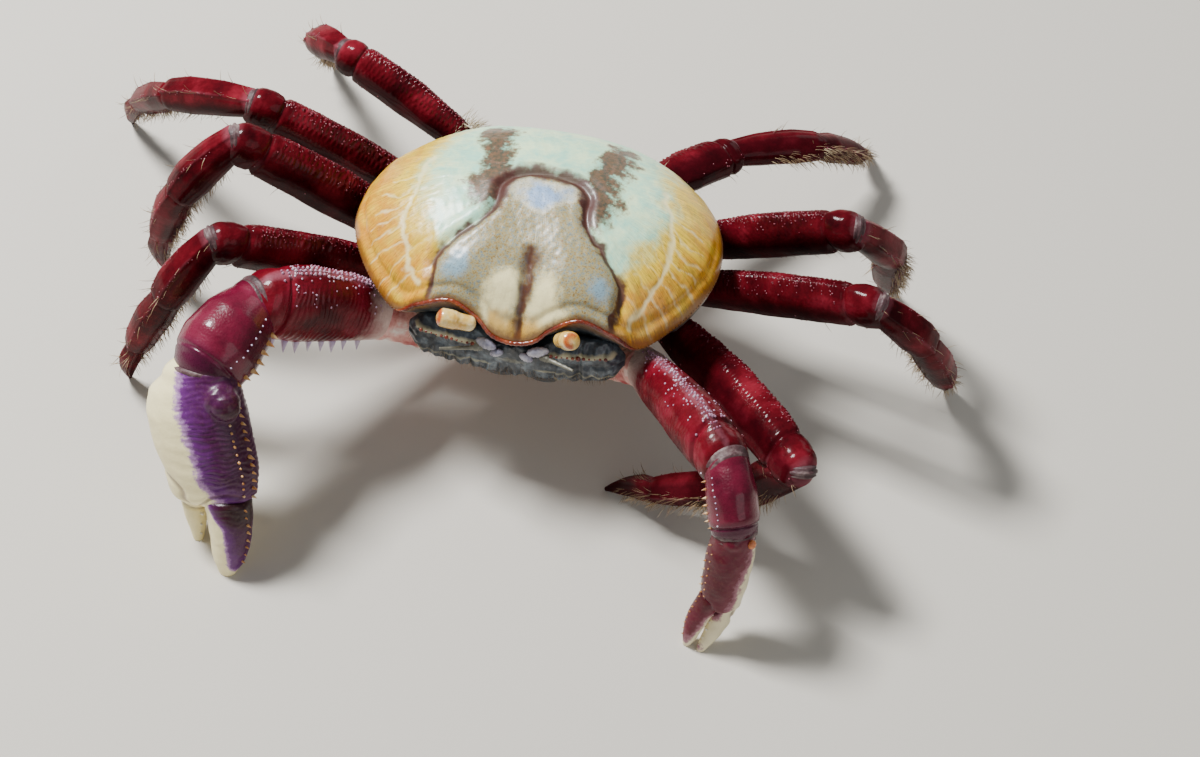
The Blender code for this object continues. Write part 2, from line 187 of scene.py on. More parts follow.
def ripple(points, wavelength, seed, octaves=3):  # smooth seeded noise about -1 to 1, wavelength in mm
    chance = np.random.default_rng(seed)
    total = np.zeros(points.shape[:-1])
    waves, calm = 7, 2.6  # waves in each octave, and what brings their sum to about 1
    for octave in range(octaves):
        for _ in range(waves):
            way = unit(chance.normal(size=3)) * (wholeTurn * 2 ** octave / (wavelength * mm))
            total += np.sin(points @ way + chance.uniform(0, wholeTurn)) / (calm * 2 ** octave)
    return total


def bell(distance, width):
    return np.exp(-(distance / width) ** 2)


def step(low, high, value):
    share = np.clip((value - low) / (high - low), 0, 1)
    return share * share * (3 - 2 * share)


def near(distance, reach):  # 1 on a line, fading to 0 at its reach in mm
    return np.clip(1 - distance / reach, 0, 1)


def lineDistance(x, y, line):  # distance in mm from each place to a bent line
    best = np.full(np.shape(x), 1e9)
    for (ax, ay), (bx, by) in zip(line, line[1:]):
        length = (bx - ax) ** 2 + (by - ay) ** 2
        share = np.clip(((x - ax) * (bx - ax) + (y - ay) * (by - ay)) / length, 0, 1)
        best = np.minimum(best, np.hypot(x - ax - share * (bx - ax), y - ay - share * (by - ay)))
    return best


def smoothLine(points, steps=8, closed=False):  # a Catmull-Rom curve through a few points
    points = np.asarray(points, float)
    count = len(points) if closed else len(points) - 1
    fine = []
    for i in range(count):
        keys = [(i + k) % len(points) if closed else min(max(i + k, 0), len(points) - 1) for k in (-1, 0, 1, 2)]
        a, b, c, d = points[keys]
        for t in np.arange(steps) / steps:
            fine.append(0.5 * (2 * b + (c - a) * t + (2 * a - 5 * b + 4 * c - d) * t ** 2
                               + (3 * b - a - 3 * c + d) * t ** 3))
    return np.array(fine if closed else fine + [points[-1]])


# a limb segment from its place, half depth, half thickness and offset in mm, with a dome at each end
def limbGrid(start, end, side, shape, rows=64, cols=48, domes=(0.8, 0.8), bow=0.0, relief=None, high=straightUp):
    start, end = np.asarray(start, float), np.asarray(end, float)
    length = np.linalg.norm(end - start)
    axis = (end - start) / length
    wide = unit(side - axis * np.dot(side, axis))
    tall = np.cross(wide, axis)
    if np.dot(tall, high) < 0:
        tall = -tall
    table = np.array([tuple(row) + (0.0,) * (4 - len(row)) for row in shape])
    arc = np.linspace(0, math.pi / 2, 9)[1:]
    first, last = table[0, 1] * mm * domes[0], table[-1, 1] * mm * domes[1]
    distance = np.concatenate([-first * np.cos(arc[:-1]), np.linspace(0, length, rows),
                               length + last * np.sin(arc[:-1])])
    share = np.concatenate([np.sin(arc[:-1]), np.ones(rows), np.cos(arc[:-1])])[:, None]
    place = distance / length
    dense, kernel = np.linspace(0, 1, 201), np.hanning(19) / np.hanning(19).sum()
    sizes = []
    for column in (1, 2, 3):
        smooth = np.pad(np.interp(dense, table[:, 0], table[:, column]), 9, mode="edge")
        sizes.append(np.interp(place, dense, np.convolve(smooth, kernel, mode="valid")) * mm)
    deep, thick, offset = (size[:, None] for size in sizes)
    u, angle = np.meshgrid(place, turnOf(cols), indexing="ij")
    c, s = np.cos(angle), np.sin(angle)
    arch = bow * mm * 4 * np.clip(u * (1 - u), 0, None)
    normal = unit(tall * (c * thick)[..., None] + wide * (s * deep)[..., None])
    centre = start + axis * distance[:, None, None] + tall * (arch + offset)[..., None]
    points = centre + (tall * (c * deep)[..., None] + wide * (s * thick)[..., None]) * share[..., None]
    marks = {"along": u, "upper": c, "front": s, "lie": np.broadcast_to(axis, points.shape)}
    if relief:
        lift, extra = relief(u, angle, points, length / mm)
        points = points + normal * (lift * mm * share)[..., None]
        marks.update(extra)
    return points, marks


def tubeGrid(line, radius, across, up, sides):  # rings of one radius a point, across and up a line's own way
    c, s = np.cos(turnOf(sides))[:, None], np.sin(turnOf(sides))[:, None]
    return line[:, None] + radius[:, None, None] * (across * c + up * s)


def bladder(centre, axis, side, along, tall, wide):  # a rounded, folded membrane, half sizes in mm
    wideWay = unit(side - axis * np.dot(side, axis))
    tallWay = np.cross(wideWay, axis)
    polar = np.linspace(0.12, math.pi - 0.12, 18)[:, None]
    turn = turnOf(30)
    fold = np.sin(polar) * (1 + 0.07 * np.sin(polar * 13)) * mm
    return gridPart(centre + axis * (np.cos(polar) * along * mm)[..., None]
                    + tallWay * (fold * np.cos(turn) * tall)[..., None]
                    + wideWay * (fold * np.sin(turn) * wide)[..., None])


# geometry nodes: tufts and grains on a surface, and rows of teeth on points

treeInputs = (("Geometry", "Geometry", None), ("Shape", "Object", None), ("Size", "Float", 0.001),
              ("Least size", "Float", 0.6), ("Seed", "Int", 1), ("Material", "Material", None))
scatterInputs = (("Mark", "String", ""), ("Per square mm", "Float", 1.0), ("Lean", "Float", 0.0),
                 ("Untidy", "Float", 0.2))
patchSize = 0.003  # share of the bake map that one bristle or grain takes


def standingTree(name, scattered):  # small shapes where a mark puts them on a surface, or one on each point of a row
    tree = bpy.data.node_groups.new(name, "GeometryNodeTree")
    for label, kind, value in treeInputs + (scatterInputs if scattered else ()):
        socket = tree.interface.new_socket(name=label, in_out="INPUT", socket_type="NodeSocket" + kind)
        if value is not None:
            socket.default_value = value
    tree.interface.new_socket(name="Geometry", in_out="OUTPUT", socket_type="NodeSocketGeometry")
    given = add(tree, "NodeGroupInput").outputs
    read = {label: add(tree, "GeometryNodeInputNamedAttribute", {"Name": label}, data_type="FLOAT_VECTOR")
            for label in (("lie", "rootPlace", "patch") if scattered else ("way",))}
    amount = add(tree, "GeometryNodeInputNamedAttribute", {"Name": given["Mark"] if scattered else "size"},
                 data_type="FLOAT")
    spread = add(tree, "FunctionNodeRandomValue", {2: given["Least size"], 3: 1.0, "Seed": given["Seed"]},
                 data_type="FLOAT")
    size = add(tree, "ShaderNodeMath", {0: spread, 1: given["Size"]}, operation="MULTIPLY")
    if scattered:  # upright, then leaning the way the limb runs, then a little astray
        square = add(tree, "ShaderNodeMath", {0: given["Per square mm"], 1: 1e6}, operation="MULTIPLY")
        density = add(tree, "ShaderNodeMath", {0: amount, 1: square}, operation="MULTIPLY")
        points = add(tree, "GeometryNodeDistributePointsOnFaces",
                     {"Mesh": given["Geometry"], "Density": density, "Seed": given["Seed"]})
        loose = add(tree, "FunctionNodeRandomValue", {0: (-1, -1, -1), 1: (1, 1, 1), "Seed": given["Seed"]},
                    data_type="FLOAT_VECTOR")
        way = points.outputs["Normal"]
        for pull, share in ((read["lie"], "Lean"), (loose, "Untidy")):
            pull = add(tree, "ShaderNodeVectorMath", {0: pull, "Scale": given[share]}, operation="SCALE")
            way = add(tree, "ShaderNodeVectorMath", {0: way, 1: pull}, operation="ADD")
    else:
        points = add(tree, "GeometryNodeMeshToPoints", {"Mesh": given["Geometry"]})
        way = read["way"]
        size = add(tree, "ShaderNodeMath", {0: size, 1: amount}, operation="MULTIPLY")
    turned = add(tree, "FunctionNodeAlignRotationToVector", {"Vector": way}, axis="Z")
    shape = add(tree, "GeometryNodeObjectInfo", {"Object": given["Shape"], "As Instance": True})
    made = add(tree, "GeometryNodeInstanceOnPoints", {"Points": points, "Instance": shape.outputs["Geometry"],
                                                      "Rotation": turned, "Scale": size})
    made = add(tree, "GeometryNodeRealizeInstances", {0: made})
    if scattered:  # each shape keeps a small patch of the bake map at its root's place
        small = add(tree, "ShaderNodeVectorMath", {0: read["patch"], "Scale": patchSize}, operation="SCALE")
        place = add(tree, "ShaderNodeVectorMath", {0: read["rootPlace"], 1: small}, operation="ADD")
        made = add(tree, "GeometryNodeStoreNamedAttribute", {"Geometry": made, "Name": "OFBake", "Value": place},
                   data_type="FLOAT2", domain="CORNER")
    made = add(tree, "GeometryNodeSetMaterial", {"Geometry": made, "Material": given["Material"]})
    add(tree, "NodeGroupOutput", {0: made})
    return tree


spentMarks = ("rootPlace", "patch", "lie", "way", "size", "hair", "grain", "tuft", "along", "upper", "front", "pale")


def grow(name, host, tree, look, values):  # run a tree on a host mesh and keep the result as a plain mesh
    modifier = host.modifiers.new("grow", "NODES")
    modifier.node_group = tree
    values = {**values, "Material": materials[look]}
    for item in tree.interface.items_tree:
        if item.in_out == "INPUT" and item.name in values:
            modifier[item.identifier] = values[item.name]
    mesh = meshOf(host)
    mesh.name = name
    dropMarks(mesh, spentMarks)
    mesh.shade_smooth()
    print("grown", name, len(mesh.polygons))
    return newObject(name, mesh)


def turnedShape(name, profile, sides, bend=0.0):  # a turned form of unit height from (height, radius) pairs
    turn = turnOf(sides)
    rings = [np.column_stack([np.cos(turn) * r + bend * h * h, np.sin(turn) * r, np.full(sides, h)])
             for h, r in profile]
    verts, quads, fans, _ = gridPart(np.array(rings))
    mesh = bpy.data.meshes.new(name)
    mesh.from_pydata(verts.tolist(), [], quads.tolist() + fans.tolist())
    setMark(mesh, "patch", np.column_stack([verts[:, 0] * 0.5 + 0.5, np.clip(verts[:, 2], 0, 1), verts[:, 0] * 0]))
    shape = newObject(name, mesh)
    shape.hide_render = True
    return shape


scatter, row = standingTree("scatterOnSurface", True), standingTree("rowOfShapes", False)
shapes = {name: turnedShape(name + "Shape", *form) for name, form in {
    "bristle": (((0, 0.026), (0.35, 0.024), (0.7, 0.016), (1, 0.003)), 3, 0.25),
    "grain": (((-0.4, 0.55), (0.0, 0.85), (0.35, 0.72), (0.6, 0.3)), 7),
    "spine": (((-0.3, 0.34), (0.1, 0.32), (0.5, 0.2), (0.85, 0.08), (1, 0.02)), 8, 0.12),
    "tooth": (((-0.4, 0.5), (0.1, 0.5), (0.5, 0.36), (0.7, 0.1)), 8)}.items()}


def pointRow(name, spots, shape, look, size, seed, least, slot):  # spots are (place, way, size)
    mesh = bpy.data.meshes.new(name)
    places, ways, sizes = zip(*spots)
    mesh.from_pydata([tuple(place) for place in places], [], [])
    setMark(mesh, "way", ways)
    setMark(mesh, "size", sizes)
    piece = grow(name, newObject(name + "Points", mesh), row, look, {
        "Shape": shapes[shape], "Size": size * mm, "Least size": least, "Seed": seed})
    standFor(piece, slot)


# joints of the limbs, read from the solids

def nodePoints(node):
    return vertexValues(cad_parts[node].data)


def jointBetween(first, second, reach=0.9):  # middle of the face that one solid turns to the next
    here, there = nodePoints(first), nodePoints(second)
    tree = kdtree.KDTree(len(there))
    for index, point in enumerate(there):
        tree.insert(point, index)
    tree.balance()
    facing = here[[tree.find(point)[2] < reach * mm for point in here]]
    return (facing.min(0) + facing.max(0)) / 2


def tipOf(node, reach=0.1):  # middle of the flat that a tip stands on
    points = nodePoints(node)
    return points[points[:, 2] < points[:, 2].min() + reach * mm].mean(0)


# markings and relief of the shell, all from a few places in mm on its own plan

carapace = {
    "rim": ((0, -27.5, 42.5), (4.5, -27, 43.5), (8, -25.5, 46.5), (14, -24.5, 49.5), (21, -24.5, 46.5),
            (26.5, -23, 42), (33, -17, 43.5), (38.3, -8, 45), (40, 1, 45), (38, 12.5, 43.5),
            (32.5, 21.5, 41.5), (24.5, 28, 40.5), (15, 31.5, 40), (0, 32.5, 40)),
    "top": 61.5, "floor": 37.5, "middle": 5.0, "midline": 1.3, "rings": 124, "sides": 640,
    "groove": ((20, -24.5), (20.4, -20), (20, -16.6), (17, -13), (11.4, -8), (9.8, -4.2), (9.4, 0.5),
               (6.2, 3.6), (0, 4.9)),
    "blotch": ((14.2, 19.5), (13.4, 15), (12.2, 9), (11.4, 4), (12.2, -2.5)),
    "wedge": ((0, -14), (0.3, -19), (0.1, -27)),
    "vein": ((23, -22), (26.6, -16), (28.6, -9), (27.6, -1), (25, 8)),
    "branches": (-19, -15.5, -12, -9, -6, -3, 0, 3.5), "veinHalf": 1.15, "branchHalf": 0.65, "twigHalf": 0.6,
    "waver": ((9, 0.55), (3.2, 0.25)),  # wavelength and reach of the markings' unevenness
    "blue": (15.2, -19, 4.4), "cream": (4.6, -22.5, 4.9), "heart": (1.2, 6.2), "blotchHalf": 9.6,
}


def rimRing(sides):
    half = np.array(carapace["rim"], float)
    whole = np.concatenate([half, (half[1:-1] * (-1, 1, 1))[::-1]])
    fine = smoothLine(whole, 24, closed=True)
    angle = np.unwrap(np.arctan2(fine[:, 1] - carapace["middle"], fine[:, 0]))
    wanted = angle[0] + turnOf(sides)
    order = np.argsort(angle)
    return np.column_stack([np.interp(wanted, angle[order], fine[order, k], period=wholeTurn) for k in range(3)])


def shellFields(x, y):  # soft masks between 0 and 1 over the plan, x and y in mm
    spot = np.stack([x, y, 0 * x], -1) * mm
    (long, far), (short, little) = carapace["waver"]
    x = x + far * ripple(spot, long, 31) + little * ripple(spot, short, 32)
    y = y + far * ripple(spot, long, 33) + little * ripple(spot, short, 34)
    side = np.abs(x - carapace["midline"])
    groove = smoothLine(carapace["groove"])
    grooveHalf = 1.8 + 2.0 * step(-8, 0, y) - 0.5 * step(-12, -18, y) * (x > 0)
    vein = near(lineDistance(side, y, smoothLine(carapace["vein"])), carapace["veinHalf"])
    for at in carapace["branches"]:  # a branch out to the margin and a twig in towards the middle
        root = np.interp(at, (-22, -9, 8), (23, 28.4, 25.2))
        branch = ((root, at), (root + 3.4, at - 1.6), (root + 7.5, at - 1.8 + at * 0.12))
        vein = np.maximum(vein, 0.75 * near(lineDistance(side, y, branch), carapace["branchHalf"]))
        twig = ((root, at), (root - 2.6, at + 0.8), (root - 4.8, at + 2.6))
        vein = np.maximum(vein, 0.55 * near(lineDistance(side, y, twig), carapace["twigHalf"]))
    order = np.argsort(groove[:, 1])
    edge = np.interp(y, groove[order, 1], groove[order, 0])
    flank = step(0.42, 0.98, np.hypot(side / 40, (y - 3) / 31)) * step(1.0, 0.1, np.arctan2(y - 5, side))
    flank = np.maximum(flank * step(15, 22, side), step(20, 25, side) * step(-3, -17, y) * 0.9)
    back, heartHalf = carapace["heart"]
    heart = near(np.hypot(side / 1.5, (y + back) * 1.12), heartHalf)
    blue, cream = carapace["blue"], carapace["cream"]
    creamSpot = near(np.hypot((side - cream[0]) / 1.15, (y - cream[1]) / 1.5), cream[2])
    return {
        "groove": near(lineDistance(side, y, groove), grooveHalf), "flank": flank, "vein": vein, "heart": heart,
        "inside": step(1.0, -1.0, side - edge) * step(5.6, 4.0, y),
        "blotch": near(lineDistance(side, y, smoothLine(carapace["blotch"])), carapace["blotchHalf"] - 0.1 * (y - 8)),
        "wedge": near(lineDistance(side, y, carapace["wedge"]), 1.1 + 2.6 * step(-26, -15, y)) * step(-11, -14, y),
        "cream": np.maximum(creamSpot, 0.55 * near(np.abs(side - 8), 4) * step(-20, -25, y)),
        "blue": np.maximum(near(np.hypot(side - blue[0], (y - blue[1]) * 0.95), blue[2]), heart * 0.9),
        "lobe": step(-22.6, -26.8, y) * step(9, 5, side),
        "rearFleck": near(np.abs(np.hypot(side / 40, (y - 3) / 30.5) - 0.93), 0.12) * step(8, 20, y),
    }


def shellRelief(x, y, fields, reach):  # grooves and swellings of the shell, in mm
    side = np.abs(x - carapace["midline"])
    groove = lineDistance(side, y, smoothLine(carapace["groove"]))
    lift = -0.8 * bell(groove, 1.0) + 0.3 * bell(groove - 2.4, 1.3)
    lift += -0.8 * bell(lineDistance(side, y, carapace["wedge"]), 1.2) * step(-11, -17, y)
    lift += 0.75 * bell(np.hypot((side - 5.5) / 1.15, (y + 21.5) / 1.2), 4.2)
    lift += 0.55 * bell(np.hypot(side - 14.5, (y + 19) * 1.2), 4.2)
    lift += 0.5 * bell(np.hypot(side / 1.5, y + 1), 5.5) + 0.45 * bell(np.hypot(side - 27, y - 1), 12)
    lift += -0.3 * fields["blotch"] - 0.15 * fields["vein"] - 0.5 * step(-12, -24, y) * bell(reach - 0.945, 0.022)
    lift += -0.45 * bell(reach - 0.955, 0.012) * step(20, 30, side) * step(8, -2, y)
    return lift


def makeCarapace():
    rim = rimRing(carapace["sides"])
    middle = np.array((0.0, carapace["middle"]))
    fromMiddle = rim[:, :2] - middle
    reach = np.linspace(0.004, 1.0, carapace["rings"])[:, None] ** 0.9
    height = rim[:, 2] + (carapace["top"] - rim[:, 2]) * np.clip(1 - reach ** 2.3, 0, 1) ** 0.68
    upper = np.concatenate([fromMiddle * reach[..., None] + middle, height[..., None]], -1)
    x, y = upper[..., 0], upper[..., 1]
    fields = shellFields(x, y)
    lift = shellRelief(x, y, fields, reach)
    lift += 0.06 * ripple(upper * mm, 7, 3) + 0.018 * ripple(upper * mm, 1.7, 5, 1) * fields["inside"]
    tilt = (math.pi / 2) * reach[..., None] ** 3
    away = np.concatenate([unit(fromMiddle) * np.sin(tilt), np.broadcast_to(np.cos(tilt), x.shape + (1,))], -1)
    upper = upper + away * (lift * step(1.0, 0.97, reach))[..., None]
    front = np.clip((-rim[:, 1] - 14) / 14, 0, None)
    inset = 0.93 - 0.14 * np.clip(front * 1.4, 0, 1)
    below = []
    for share in np.linspace(0.08, 1, 14):  # the wall that turns in under the margin
        pull = 1 - (1 - inset) * share ** 1.4
        drop = rim[:, 2] + (carapace["floor"] - rim[:, 2]) * share
        below.append(np.column_stack([fromMiddle * pull[:, None] + middle, drop]))
    wall = below[-1][:, :2] - middle
    for pull in (0.97, 0.8, 0.4, 0.05):  # the flat that closes it
        below.append(np.column_stack([wall * pull + middle, np.full(len(rim), carapace["floor"])]))
    points = np.concatenate([upper, np.array(below)])
    marks = {name: np.concatenate([field, np.repeat(field[-1:], len(below), 0)]) for name, field in fields.items()}
    marks["reach"] = np.concatenate([reach, 1 + np.linspace(0.02, 0.3, len(below))[:, None]])
    arc = np.cumsum(np.linalg.norm(np.diff(rim, axis=0, prepend=rim[-1:]), axis=1))
    radius = np.linalg.norm(points[..., :2] - middle, axis=-1)
    marks["streak"] = np.stack([np.broadcast_to(arc, radius.shape), radius, 0 * radius], -1)
    piece = makePiece("carapaceShell", [gridPart(crabOrigin + points * mm, marks)], "carapace")
    standFor(piece, "carapace_shell", "carapace")
    print("shell made", len(piece.data.polygons))
    return rim


shellColours = {
    "mint": ("#a6e2c6", "#dcf9c8"), "centre": ("#74858a", "#9c9a7c", "#ab945a", "#745530"),
    # slate tones under the margin, darkened as painted shade under the rim
    "blotch": ("#301208", "#6e3a20"), "shadedUnderside": ("#171c20", "#3a4248", "#7d7c6c"),
    "line": "#5f3d12", "grit": "#4b3626", "margin": "#7c4a22",
    # mark, how far noise frays it, where it starts and is full, its strength and its colour
    "layers": (
        ("flank", 0.7, 0.2, 0.62, 0.94, "#f4c90c"), ("flank", 1.2, 0.6, 1.15, 0.8, "#d98200"),
        ("rearFleck", 1.3, 0.75, 1.1, 0.7, "#b08a3a"), ("vein", 0.6, 0.2, 0.9, 0.62, "#fbf1b8"),
        ("inside", 0.25, 0.35, 0.6, 1.0, "centre"), ("blue", 0.9, 0.2, 0.75, 0.85, "#84a9bd"),
        ("heart", 1.0, 0.1, 0.32, 0.5, "#e6e2c8"), ("heart", 1.2, 0.28, 0.75, 0.9, "#86a8d4"),
        ("cream", 0.7, 0.2, 0.62, 0.97, "#fff3b8"), ("lobe", 0.8, 0.2, 0.9, 0.8, "#dda83a"),
        ("blotch", 1.5, 0.5, 0.8, 0.93, "blotch"), ("groove", 0.9, 0.25, 0.8, 0.95, "#43150c"),
        ("wedge", 1.0, 0.15, 1.0, 0.92, "#4a1a10"),
    ),
}


def carapaceMaterial():
    # waxy crab shell: mint white and yellow under a clear gloss, with matt brown grooves
    material, tree, shader = newMaterial("waxedCarapaceShell")
    place = add(tree, "ShaderNodeTexCoord").outputs["Object"]
    read = {name: add(tree, "ShaderNodeAttribute", attribute_name=name).outputs["Fac"]
            for name in ("groove", "blotch", "wedge", "vein", "inside", "flank", "cream", "blue", "heart",
                         "lobe", "rearFleck", "reach")}
    streak = add(tree, "ShaderNodeAttribute", attribute_name="streak").outputs["Vector"]
    # noises for patches of 4 mm, mottling of 1 mm, grain of 0.6 mm and specks of 0.3 mm
    coarse, fine, grain, speck = (
        add(tree, "ShaderNodeTexNoise", {"Vector": place, "Scale": scale, "Detail": detail, "Roughness": rough})
        for scale, detail, rough in ((230.0, 7.0, 0.68), (1100.0, 4.0, 0.7), (1700.0, 5.0, 0.75), (3200.0, 2.0, 0.5)))
    drawn = add(tree, "ShaderNodeMapping", {"Vector": streak, "Scale": (0.9, 0.07, 1.0)})  # long across the margin
    lines = add(tree, "ShaderNodeTexNoise", {"Vector": drawn, "Scale": 1.0, "Detail": 4.0, "Roughness": 0.6,
                                             "Distortion": 0.9})
    base, centre, blotch, under = (
        add(tree, "ShaderNodeValToRGB", {0: noise}, stops=zip(spots, shellColours[name]))
        for name, noise, spots in (("mint", coarse, (0.38, 0.6)), ("centre", grain, (0.36, 0.47, 0.56, 0.66)),
                                   ("blotch", fine, (0.4, 0.62)), ("shadedUnderside", coarse, (0.38, 0.5, 0.66))))
    special = {"centre": centre, "blotch": blotch}
    masks = {}

    def over(base, share, shade):  # one colour laid over another
        return add(tree, "ShaderNodeMix", {0: share, 6: base, 7: hue(shade) if isinstance(shade, str) else shade},
                   data_type="RGBA")

    for mark, fray, low, full, strength, shade in shellColours["layers"]:
        loose = add(tree, "ShaderNodeMath", {0: coarse, 1: fray, 2: -fray / 2}, operation="MULTIPLY_ADD")
        value = add(tree, "ShaderNodeMath", {0: read[mark], 1: loose}, operation="ADD")
        masks[mark] = add(tree, "ShaderNodeMapRange", {0: value, 1: low, 2: full, 4: strength},
                          interpolation_type="SMOOTHSTEP")
        base = over(base, masks[mark], special.get(shade, shade))
        if mark == "rearFleck":  # fine dark lines square to the margin, under the pale veins
            thin = add(tree, "ShaderNodeValToRGB", {0: lines}, stops=(
                (0.44, 0.0), (0.468, 0.72), (0.486, 0.0), (0.572, 0.4), (0.585, 0.0)))
            where = add(tree, "ShaderNodeMapRange", {0: read["flank"], 1: 0.0, 2: 0.5, 3: 0.18, 4: 1.0})
            base = over(base, add(tree, "ShaderNodeMath", {0: thin, 1: where}, operation="MULTIPLY"),
                        shellColours["line"])
    grit = add(tree, "ShaderNodeMapRange", {0: speck, 1: 0.54, 2: 0.66, 4: 0.45})
    clean = add(tree, "ShaderNodeMapRange", {0: masks["cream"], 3: 1.0, 4: 0.15})
    for share in (masks["inside"], clean):
        grit = add(tree, "ShaderNodeMath", {0: grit, 1: share}, operation="MULTIPLY")
    base = over(base, grit, shellColours["grit"])
    wobble = add(tree, "ShaderNodeMath", {0: fine, 1: 0.03, 2: -0.015}, operation="MULTIPLY_ADD")
    edge = add(tree, "ShaderNodeMath", {0: read["reach"], 1: wobble}, operation="ADD")
    margin = add(tree, "ShaderNodeValToRGB", {0: edge}, stops=((0.975, 0.0), (0.992, 0.75), (1.0, 0.8)))
    base = over(base, margin, shellColours["margin"])
    # the wall under the margin and the flat below it: slate plates with painted shade under the rim
    shadedUnderside = add(tree, "ShaderNodeMapRange", {0: read["reach"], 1: 1.02, 2: 1.08})
    base = over(base, shadedUnderside, under)
    gloss = add(tree, "ShaderNodeMapRange", {0: masks["groove"], 3: 0.36, 4: 0.6})
    ribs = add(tree, "ShaderNodeMath", {0: lines, 1: 0.5}, operation="MULTIPLY")
    height = add(tree, "ShaderNodeMath", {0: fine, 1: 0.7, 2: ribs}, operation="MULTIPLY_ADD")
    bump = add(tree, "ShaderNodeBump", {"Strength": 0.45, "Distance": 0.00025, "Height": height})
    feed(shader, {"Base Color": base, "Roughness": gloss, "Normal": bump, "IOR": 1.52, "Coat Weight": 0.25,
                  "Coat Roughness": 0.2})
    return material


def lacquer(name, tones, roughness, coat, blot, tints=(), ior=1.54):
    # crab shell in three tones under a clear gloss, blotched at a size in mm, tinted where its marks say so
    material, tree, shader = newMaterial(name)
    place = add(tree, "ShaderNodeTexCoord").outputs["Object"]
    broad = add(tree, "ShaderNodeTexNoise", {"Vector": place, "Scale": 1 / (blot * mm), "Detail": 6.0,
                                             "Roughness": 0.62})
    fine = add(tree, "ShaderNodeTexNoise", {"Vector": place, "Scale": 2600.0, "Detail": 3.0})  # grain of 0.4 mm
    pits = add(tree, "ShaderNodeTexVoronoi", {"Vector": place, "Scale": 1500.0})  # pits 0.7 mm apart
    colour = add(tree, "ShaderNodeValToRGB", {0: broad}, stops=zip((0.34, 0.52, 0.7), tones))
    for mark, fray, stops, tone in tints:
        read = add(tree, "ShaderNodeAttribute", attribute_name=mark).outputs["Fac"]
        loose = add(tree, "ShaderNodeMath", {0: broad, 1: fray, 2: -fray / 2}, operation="MULTIPLY_ADD")
        value = add(tree, "ShaderNodeMath", {0: read, 1: loose}, operation="ADD")
        share = add(tree, "ShaderNodeValToRGB", {0: value}, stops=stops)
        colour = add(tree, "ShaderNodeMix", {0: share, 6: colour, 7: hue(tone)}, data_type="RGBA")
    gloss = add(tree, "ShaderNodeMapRange", {0: fine, 1: 0.3, 2: 0.7, 3: roughness - 0.07, 4: roughness + 0.12})
    depth = add(tree, "ShaderNodeMath", {0: fine, 1: pits}, operation="ADD")
    bump = add(tree, "ShaderNodeBump", {"Strength": 0.4, "Distance": 0.12 * mm, "Height": depth})
    feed(shader, {"Base Color": colour, "Roughness": gloss, "Normal": bump, "IOR": ior, "Coat Weight": coat,
                  "Coat Roughness": 0.13})
    return material


def handMaterial(name, tones):
    # porcelain-smooth claw shell: cream below, lilac to wine above, with a thin clear gloss
    material, tree, shader = newMaterial(name)
    place = add(tree, "ShaderNodeTexCoord").outputs["Object"]
    tone, fold = (add(tree, "ShaderNodeAttribute", attribute_name=mark).outputs["Fac"] for mark in ("tone", "fold"))
    broad, fine = (  # noises for stains of 3 mm and specks of 0.7 mm
        add(tree, "ShaderNodeTexNoise", {"Vector": place, "Scale": scale, "Detail": detail, "Roughness": rough})
        for scale, detail, rough in ((320.0, 7.0, 0.72), (1500.0, 4.0, 0.7)))
    loose = add(tree, "ShaderNodeMath", {0: broad, 1: 6.0, 2: -3.0}, operation="MULTIPLY_ADD")
    height = add(tree, "ShaderNodeMath", {0: tone, 1: loose}, operation="ADD")
    share = add(tree, "ShaderNodeMapRange", {0: height, 1: -1.0, 2: 11.0})
    colour = add(tree, "ShaderNodeValToRGB", {0: share}, stops=zip((0.05, 0.12, 0.24, 0.48, 0.72, 1.0), tones))
    for value, low, full, strength, shade in ((fine, 0.5, 0.72, 0.07, "#a88f5e"), (fold, 0.3, 1.0, 0.6, "#5b3040")):
        share = add(tree, "ShaderNodeMapRange", {0: value, 1: low, 2: full, 4: strength})  # stains, then painted shade that darkens the creases
        colour = add(tree, "ShaderNodeMix", {0: share, 6: colour, 7: hue(shade)}, data_type="RGBA")
    gloss = add(tree, "ShaderNodeMapRange", {0: fine, 1: 0.3, 2: 0.7, 3: 0.32, 4: 0.47})
    bump = add(tree, "ShaderNodeBump", {"Strength": 0.35, "Distance": 0.15 * mm, "Height": fine})
    feed(shader, {"Base Color": colour, "Roughness": gloss, "Normal": bump, "IOR": 1.33, "Coat Weight": 0.2,
                  "Coat Roughness": 0.2})
    return material


def paleTint(tone, share):  # the tone that a piece's pale mark brings in, frayed by the blotches
    return ("pale", 0.9, ((0.3, 0.0), (0.95, share)), tone)


